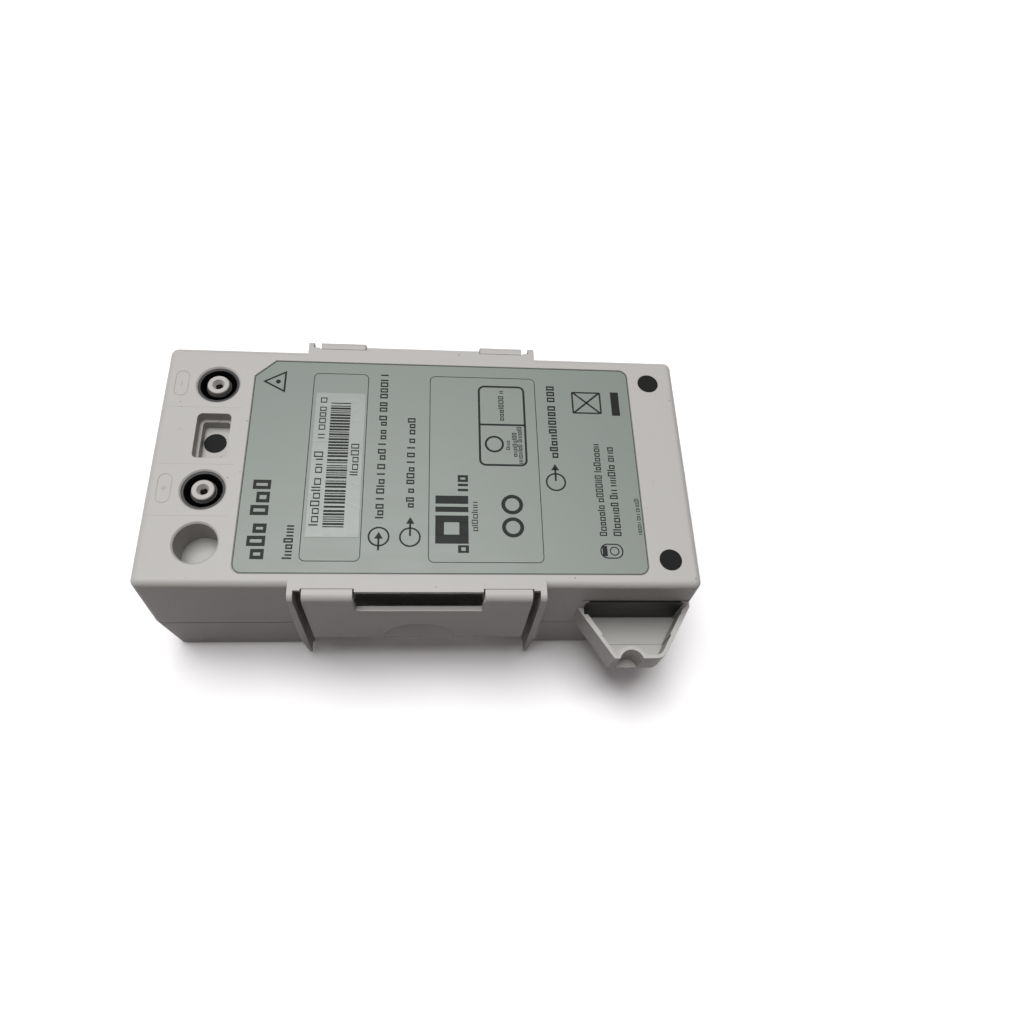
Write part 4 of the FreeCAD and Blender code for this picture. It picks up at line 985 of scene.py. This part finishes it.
@dataclass(frozen=True)
class PrintLine:
    """A line of placeholder marks that runs along +Y, with its tops towards -X."""

    base_x: float
    y: Span
    height: float
    weight: float = 0.17
    width: float = 0.50
    words: tuple[int, ...] = (5, 3, 6)
    seed: int = 1

    def bars(self) -> list[Bar]:
        """Bars in the sheet's plane, as X from, X to, Y from, Y to in millimetres."""
        draw = random.Random(self.seed)
        kinds = (Glyph.TALL_RING, Glyph.LOW_RING, Glyph.LOW_RING, Glyph.POST, Glyph.TWIN, Glyph.TALL_RING)
        cursor = 0.0
        laid: list[Bar] = []
        for count in self.words:
            for _ in range(count):
                kind = draw.choice(kinds)
                step = self.weight if kind is Glyph.POST else self.width * draw.uniform(0.9, 1.12)
                laid += [(cursor + a, cursor + b, c, d) for a, b, c, d in glyph_bars(kind, step, self.weight)]
                cursor += step + 0.14
            cursor += 0.30
        total = cursor - 0.44
        reach = (self.y[1] - self.y[0]) / total
        return [(self.base_x - d * self.height, self.base_x - c * self.height,
                 self.y[0] + a * reach, self.y[0] + b * reach) for a, b, c, d in laid]


class Printer:
    """Lays thin raised print on a flat sheet."""

    def __init__(self, surface_z: float, thickness: float = 0.02, sink: float = 0.01) -> None:
        """Sets where the print lies.

        Args:
            surface_z: Height of the sheet, in millimetres.
            thickness: How far the print stands over it.
            sink: How far its foot is let into the sheet.
        """
        self.foot_z = surface_z - sink
        self.thickness = thickness + sink
        self.parts: list[bpy.types.Object] = []
        self._stamp: bpy.types.Object | None = None

    def _bar_stamp(self) -> bpy.types.Mesh:
        """A unit bar, modelled once."""
        if self._stamp is None:
            stamp = flat_plate("bar_stamp", (-500, 500), (-500, 500), 0)
            with editing(stamp):
                thicken(1000)
            self._stamp = stamp
        return self._stamp.data

    def bar(self, x: Span, y: Span, turn_deg: float = 0.0) -> None:
        """Adds a bar, turned about its own centre.

        Args:
            x: Its reach along X, in millimetres.
            y: Its reach along Y.
            turn_deg: Its turn.
        """
        mesh = self._bar_stamp().copy()
        centre = Vector(((x[0] + x[1]) / 2, (y[0] + y[1]) / 2, self.foot_z)) * MM
        size = Matrix.Diagonal(((x[1] - x[0]) * MM, (y[1] - y[0]) * MM, self.thickness * MM, 1))
        turn = Matrix.Rotation(math.radians(turn_deg), 4, "Z")
        mesh.transform(Matrix.Translation(centre) @ turn @ size)
        piece = bpy.data.objects.new("bar", mesh)
        bpy.context.scene.collection.objects.link(piece)
        self.parts.append(piece)

    def line(self, text: PrintLine) -> None:
        """Adds a line of placeholder marks.

        Args:
            text: The line.
        """
        for x0, x1, y0, y1 in text.bars():
            self.bar((x0, x1), (y0, y1))

    def frame(self, x: Span, y: Span, radius: float, line: float) -> None:
        """Adds a rounded outline.

        Args:
            x: Its reach along X, in millimetres.
            y: Its reach along Y.
            radius: Its corner radius.
            line: Its line width.
        """
        piece = flat_plate("frame", x, y, self.foot_z)
        with editing(piece):
            round_corners(piece, radius, 6)
            hollow_out(line)
            thicken(self.thickness)
        self.parts.append(piece)

    def ring(self, centre: Point, radius: float, line: float, sides: int = 40, turn_deg: float = 0.0) -> None:
        """Adds a ring or, with few sides, a polygon outline.

        Args:
            centre: Its centre, in millimetres.
            radius: Its outer radius.
            line: Its line width; 0 leaves it solid.
            sides: Number of sides.
            turn_deg: Its turn.
        """
        bpy.ops.object.select_all(action="DESELECT")
        bpy.ops.mesh.primitive_circle_add(vertices=sides, radius=radius * MM, fill_type="NGON",
                                          location=(centre[0] * MM, centre[1] * MM, self.foot_z * MM))
        piece = bpy.context.active_object
        piece.rotation_euler.z = math.radians(turn_deg)
        settle(piece)
        with editing(piece):
            if line > 0:
                hollow_out(line)
            thicken(self.thickness)
        self.parts.append(piece)

    def arrow(self, start: Point, tip: Point, head: float, line: float) -> None:
        """Adds an arrow.

        Args:
            start: Its tail, in millimetres.
            tip: Its point.
            head: The head's radius.
            line: The shaft's width.
        """
        along = Vector((tip[0] - start[0], tip[1] - start[1]))
        heading = math.degrees(math.atan2(along.y, along.x))
        neck = along.length - head
        middle = Vector(start) + along.normalized() * neck / 2
        self.bar((middle.x - neck / 2, middle.x + neck / 2),
                 (middle.y - line / 2, middle.y + line / 2), heading)
        centre = Vector(tip) - along.normalized() * head
        self.ring(tuple(centre), head, 0.0, 3, heading - 90)

    def finish(self, name: str) -> bpy.types.Object:
        """Joins everything laid so far.

        Args:
            name: The piece's name.

        Returns:
            The print as one piece.
        """
        piece = joined(name, self.parts)
        if self._stamp is not None:
            bpy.data.objects.remove(self._stamp)
        self.parts = []
        self._stamp = None
        return piece


# --- Sub-assemblies -------------------------------------------------------------------------------
@dataclass
class Housing:
    """Both shells, with the polarity marks moulded beside the contacts."""

    upper_moulding: tuple[str, ...] = ("upper_shell", "contact_end", "near_latch_pod", "far_latch_pod",
                                       "side_tray")
    mark_x: Span = (-80.2, -75.9)
    mark_positive_y: Span = (-15.5, -5.5)
    mark_negative_y: Span = (22.7, 32.3)
    mark_line: float = 0.24
    mark_height: float = 0.06
    sign_reach: float = 0.75
    sign_line: float = 0.28

    def _pill(self, y: Span, upright: bool) -> bpy.types.Object:
        """One raised outline with its sign.

        Args:
            y: The outline's reach along Y, in millimetres.
            upright: True for a plus, false for a minus.

        Returns:
            The piece.
        """
        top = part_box("upper_shell")[1].z / MM
        printer = Printer(top, self.mark_height, 0.05)
        printer.frame(self.mark_x, y, (self.mark_x[1] - self.mark_x[0]) / 2 - 0.05, self.mark_line)
        middle = ((self.mark_x[0] + self.mark_x[1]) / 2, (y[0] + y[1]) / 2)
        half = self.sign_line / 2
        printer.bar((middle[0] - half, middle[0] + half),
                    (middle[1] - self.sign_reach, middle[1] + self.sign_reach))
        if upright:
            for side in (-1, 1):
                near, far = sorted((middle[0] + side * half, middle[0] + side * self.sign_reach))
                printer.bar((near, far), (middle[1] - half, middle[1] + half))
        return printer.finish("positive_mark" if upright else "negative_mark")

    def build(self) -> list[bpy.types.Object]:
        """Builds the shells and marks."""
        made = [Skin(self.upper_moulding, SHELL, "shell_plastic").build(),
                Skin(("lower_shell",), SHELL, "shell_plastic").build()]
        for y, upright in ((self.mark_positive_y, True), (self.mark_negative_y, False)):
            made.append(finished(self._pill(y, upright), SHELL, Body.HOUSING))
        return made


@dataclass
class Latches:
    """The two spring arms."""

    def build(self) -> list[bpy.types.Object]:
        """Builds both arms, each on its own body."""
        sides = (("near_latch_arm", Body.NEAR_LATCH), ("far_latch_arm", Body.FAR_LATCH))
        return [Skin((node,), SHELL, "shell_plastic", body).build() for node, body in sides]


@dataclass
class ContactEnd:
    """Contact posts, sockets and collars in their wells, and the plugs over the screws."""

    def build(self) -> list[bpy.types.Object]:
        """Builds the contact end's loose pieces."""
        return [Skin(("contact_posts",), SHELL, "shell_plastic").build(),
                Skin(("contact_sockets",), CONTACT, "contact_metal").build(),
                Skin(("contact_collars",), BLACK, "black_plastic").build(),
                Skin(("screw_plugs",), PLUG, "plug_rubber").build()]


@dataclass
class MainsInlet:
    """The inlet housing on the far end."""

    def build(self) -> list[bpy.types.Object]:
        """Builds the inlet's surface."""
        return [Skin(("inlet_housing",), BLACK, "black_plastic").build()]


@dataclass
class RatingLabel:
    """The overlay on the contact face, with its line work, a painted shade line round its edge and
    placeholder print.
    """

    # Width of the painted shade line that stands for the shade in the gap round the overlay.
    painted_gap_shade_line: float = 0.24
    edge_inset: float = 0.12
    corner: float = 2.9
    chamfer: float = 6.2
    frame_line: float = 0.26
    frame_corner: float = 1.8
    serial_frame: tuple[Span, Span] = ((-36.9, -19.2), (-34.0, 32.8))
    approval_frame: tuple[Span, Span] = ((0.65, 35.5), (-34.2, 32.8))
    mark_frame: tuple[Span, Span] = ((16.4, 31.9), (-1.0, 29.55))
    mark_line: float = 0.7
    mark_divide: float = 14.35
    block_marks: tuple[tuple[tuple[Span, Span], tuple[Span, Span]], ...] = (
        (((2.75, 12.8), (-28.0, -25.0)), ((2.75, 5.4), (-25.1, -20.8))),
        (((10.0, 12.8), (-25.1, -20.8)), ((2.75, 12.8), (-20.9, -18.6))),
        (((2.75, 12.8), (-17.4, -15.6)), ((2.75, 12.8), (-14.6, -11.8))))
    flow_signs: tuple[tuple[Point, Span], ...] = (
        ((-14.05, -25.85), (-30.35, -24.3)),
        ((-4.77, -25.95), (-25.6, -19.3)),
        ((40.55, -6.45), (-6.1, 0.05)))

    lines: tuple[PrintLine, ...] = (
        PrintLine(-46.9, (-33.4, -7.2), 5.3, 0.18, 0.54, (3, 3), 4),
        PrintLine(-38.9, (-33.3, -22.4), 2.75, 0.16, 0.50, (6,), 9),
        PrintLine(-12.9, (-19.85, 32.85), 2.45, 0.16, 0.50, (3, 1, 3, 1, 1, 2, 1, 2, 2, 2, 4, 1), 12),
        PrintLine(-3.8, (-16.1, 16.15), 2.45, 0.16, 0.50, (2, 1, 3, 1, 1, 1, 1, 3), 15),
        PrintLine(15.7, (-23.8, -13.85), 1.9, 0.12, 0.50, (7,), 21),
        PrintLine(41.9, (2.3, 30.0), 2.6, 0.17, 0.50, (10, 3), 23),
        PrintLine(55.4, (-25.0, 7.75), 2.3, 0.15, 0.52, (7, 7, 7), 27),
        PrintLine(59.9, (-25.0, 6.7), 2.5, 0.15, 0.52, (7, 2, 5, 3), 31),
        PrintLine(66.45, (-24.5, -12.0), 1.5, 0.13, 0.52, (4, 2, 5), 33),
        PrintLine(24.8, (16.0, 27.65), 1.7, 0.15, 0.50, (7, 1), 45),
        PrintLine(26.4, (5.0, 8.4), 1.2, 0.15, 0.50, (3,), 46),
        PrintLine(28.7, (2.5, 11.4), 1.5, 0.15, 0.50, (9,), 47),
        PrintLine(30.4, (0.0, 13.6), 1.6, 0.15, 0.50, (7, 6), 48),
        PrintLine(12.85, (-31.0, -28.5), 4.4, 0.22, 0.75, (1,), 51),
        PrintLine(12.8, (-10.2, -4.5), 4.3, 0.19, 0.54, (2,), 53),
    )

    def _edge(self, top: float) -> bpy.types.Object:
        """A dark line painted round the overlay as the shade in the gap between the overlay and its recess.

        Args:
            top: The overlay's height, in millimetres.

        Returns:
            The piece.
        """
        low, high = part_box("rating_label")
        x = (low.x / MM + self.edge_inset, high.x / MM - self.edge_inset)
        y = (low.y / MM + self.edge_inset, high.y / MM - self.edge_inset)
        piece = flat_plate("label_painted_gap_shade_line", x, y, top - 0.01)
        middle = (low + high) / 2
        with editing(piece):
            round_corners(piece, self.chamfer, 1, lambda at: at.x < middle.x and at.y > middle.y)
            round_corners(piece, self.corner, 7, lambda at: at.x > middle.x or at.y < middle.y)
            hollow_out(self.painted_gap_shade_line)
            thicken(0.03)
        return piece

    def build(self) -> list[bpy.types.Object]:
        """Builds the line work, the painted shade line round the edge and the print."""
        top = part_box("rating_label")[1].z / MM
        # Painted shade: a dark line for the shade in the gap between the overlay and its recess.
        edge = finished(self._edge(top), LINE_INK_AND_GAP_SHADE, Body.HOUSING)

        rules = Printer(top)
        for x, y in (self.serial_frame, self.approval_frame):
            rules.frame(x, y, self.frame_corner, self.frame_line)
        frames = finished(rules.finish("label_frames"), LINE_INK_AND_GAP_SHADE, Body.HOUSING)

        ink = Printer(top)
        for text in self.lines:
            ink.line(text)
        self._symbols(ink)
        marks = finished(ink.finish("label_print"), INK, Body.HOUSING)
        return [edge, frames, marks]

    def _symbols(self, ink: Printer) -> None:
        """Adds plain symbols in the places where the label has them.

        Args:
            ink: The printer.
        """
        ink.ring((-48.1, 29.0), 4.9, 0.6, 3, 90)
        ink.ring((-48.1, 29.0), 0.8, 0.0, 16)
        for centre, (tail, tip) in self.flow_signs:
            ink.ring(centre, 3.25, 0.55)
            ink.arrow((centre[0], tail), (centre[0], tip), 1.5, 0.6)
        x, y = self.mark_frame
        ink.frame(x, y, 2.2, self.mark_line)
        half = self.mark_line / 2
        ink.bar((x[0] + half, x[1] - half), (self.mark_divide - half, self.mark_divide + half))
        ink.ring((21.4, 7.05), 3.1, 0.7)
        for centre_y in (-22.4, -14.6):
            ink.ring((26.4, centre_y), 3.4, 1.2)
        for block, hole in self.block_marks:
            ink.bar(*block)
            ink.bar(*hole)
        ink.frame((47.6, 57.5), (19.4, 28.0), 0.6, 0.55)
        for turn in (42, -42):
            ink.bar((46.4, 58.7), (23.4, 24.0), turn)
        ink.bar((60.85, 63.6), (18.9, 28.2))
        ink.frame((52.8, 59.9), (-32.6, -27.6), 2.3, 0.4)
        ink.ring((57.2, -30.1), 1.5, 0.35)
        ink.bar((53.5, 55.0), (-31.8, -28.4))


@dataclass
class SerialSticker:
    """Bar code and placeholder print on the silver sticker."""

    bar_x: Span = (-30.76, -24.5)
    bar_y: Span = (-23.0, 21.3)
    narrow: float = 0.36
    seed: int = 8

    def build(self) -> list[bpy.types.Object]:
        """Builds the sticker's print."""
        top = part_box("serial_sticker")[1].z / MM
        ink = Printer(top, 0.015)
        draw = random.Random(self.seed)
        cursor = self.bar_y[0]
        while cursor < self.bar_y[1]:
            width = self.narrow * draw.choice((1, 1, 2, 2))
            ink.bar(self.bar_x, (cursor, min(cursor + width, self.bar_y[1])))
            cursor += width + self.narrow * draw.choice((1, 1, 1, 2))
        ink.line(PrintLine(-32.1, (-22.5, 3.05), 2.75, 0.11, 0.52, (8, 3), 61))
        ink.line(PrintLine(-32.1, (7.8, 23.2), 2.75, 0.11, 0.52, (1, 4, 1), 62))
        ink.line(PrintLine(-21.2, (-5.25, 6.1), 2.45, 0.11, 0.52, (6,), 63))
        return [finished(ink.finish("sticker_print"), INK, Body.HOUSING)]


@dataclass
class CarriedNodes:
    """The nodes that keep their own meshes and get a finish."""

    finishes: dict[str, Finish] = field(default_factory=lambda: dict(NODE_FINISHES))

    def build(self) -> list[bpy.types.Object]:
        """Dresses each node."""
        made = []
        for name, finish in self.finishes.items():
            node = frame["nodes"][name]
            WARDROBE.dress(node, finish)
            made.append(node)
        return made


@dataclass(frozen=True)
class Lamp:
    """A square soft light: where it stands, in metres, its side and its power in watts."""

    name: str
    towards: tuple[float, float, float]
    distance: float
    size: float
    power: float


@dataclass
class Studio:
    """Ground, soft lights and camera."""

    ground_half: float = 9.0
    ground_cuts: int = 3
    camera_at: tuple[float, float, float] = (0.67, -128.85, 277.57)
    camera_turn_deg: tuple[float, float, float] = (26.519, -5.505, -2.009)
    lens: float = 28.79
    sensor_width: float = 36.0
    clip: tuple[float, float] = (0.01, 50.0)
    lamps: tuple[Lamp, ...] = (
        Lamp("key_light", (-0.10, 0.17, 1.0), 3.0, 1.8, 104.0),
        Lamp("side_light", (-1.0, 0.12, 0.35), 2.5, 1.2, 13.0))
    sky: Rgb = (0.213, 0.190, 0.195)
    under: Rgb = (0.05, 0.043, 0.043)
    horizon: float = 0.04

    def _ground(self) -> None:
        """A wide seamless ground at the back face's height."""
        bpy.ops.object.select_all(action="DESELECT")
        bpy.ops.mesh.primitive_plane_add(size=self.ground_half * 2, location=(0, 0, 0))
        ground = bpy.context.active_object
        ground.name = "studio_ground"
        with editing(ground):
            bpy.ops.mesh.subdivide(number_cuts=self.ground_cuts)
        WARDROBE.dress(ground, GROUND)
        ground.visible_diffuse = False

    def _light(self, lamp: Lamp) -> None:
        """A square soft light aimed at the module.

        Args:
            lamp: Its placing and power.
        """
        data = bpy.data.lights.new(lamp.name, "AREA")
        data.shape = "SQUARE"
        data.size = lamp.size
        data.energy = lamp.power
        stand = bpy.data.objects.new(lamp.name, data)
        bpy.context.scene.collection.objects.link(stand)
        back = Vector(lamp.towards).normalized()
        stand.location = back * lamp.distance
        stand.rotation_euler = back.to_track_quat("Z", "Y").to_euler()

    def _world(self) -> None:
        """An even pale sky over a dim under side."""
        world = bpy.data.worlds.new("studio_sky")
        bpy.context.scene.world = world
        world.use_nodes = True
        tree = world.node_tree
        tree.nodes.clear()
        place = tree.nodes.new("ShaderNodeTexCoord")
        split = tree.nodes.new("ShaderNodeSeparateXYZ")
        ramp = tree.nodes.new("ShaderNodeValToRGB")
        light = tree.nodes.new("ShaderNodeBackground")
        out = tree.nodes.new("ShaderNodeOutputWorld")
        ramp.color_ramp.elements[0].position = 0.0
        ramp.color_ramp.elements[0].color = (*self.under, 1)
        ramp.color_ramp.elements[1].position = self.horizon
        ramp.color_ramp.elements[1].color = (*self.sky, 1)
        tree.links.new(place.outputs["Generated"], split.inputs[0])
        tree.links.new(split.outputs["Z"], ramp.inputs[0])
        tree.links.new(ramp.outputs[0], light.inputs["Color"])
        tree.links.new(light.outputs[0], out.inputs[0])

    def _camera(self) -> None:
        """The camera, looking down on the contact face from its near side."""
        data = bpy.data.cameras.new("studio_camera")
        data.lens = self.lens
        data.sensor_width = self.sensor_width
        data.clip_start, data.clip_end = self.clip
        camera = bpy.data.objects.new("studio_camera", data)
        bpy.context.scene.collection.objects.link(camera)
        camera.location = Vector(self.camera_at) * MM
        camera.rotation_euler = Euler([math.radians(a) for a in self.camera_turn_deg], "XYZ")
        bpy.context.scene.camera = camera

    def build(self) -> None:
        """Builds the studio."""
        self._world()
        self._ground()
        for lamp in self.lamps:
            self._light(lamp)
        self._camera()
        bpy.context.scene.view_settings.view_transform = "Standard"


def main() -> None:
    """Builds the module and its studio, and reports each piece."""
    logging.basicConfig(level=logging.INFO, format="%(message)s")
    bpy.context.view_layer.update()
    for part in (Housing(), Latches(), ContactEnd(), MainsInlet(), CarriedNodes(), RatingLabel(),
                 SerialSticker()):
        for piece in part.build():
            LOG.info("%s: %s, %d faces", type(part).__name__, piece.name, len(piece.data.polygons))
    Studio().build()


if __name__ == "__main__":
    main()
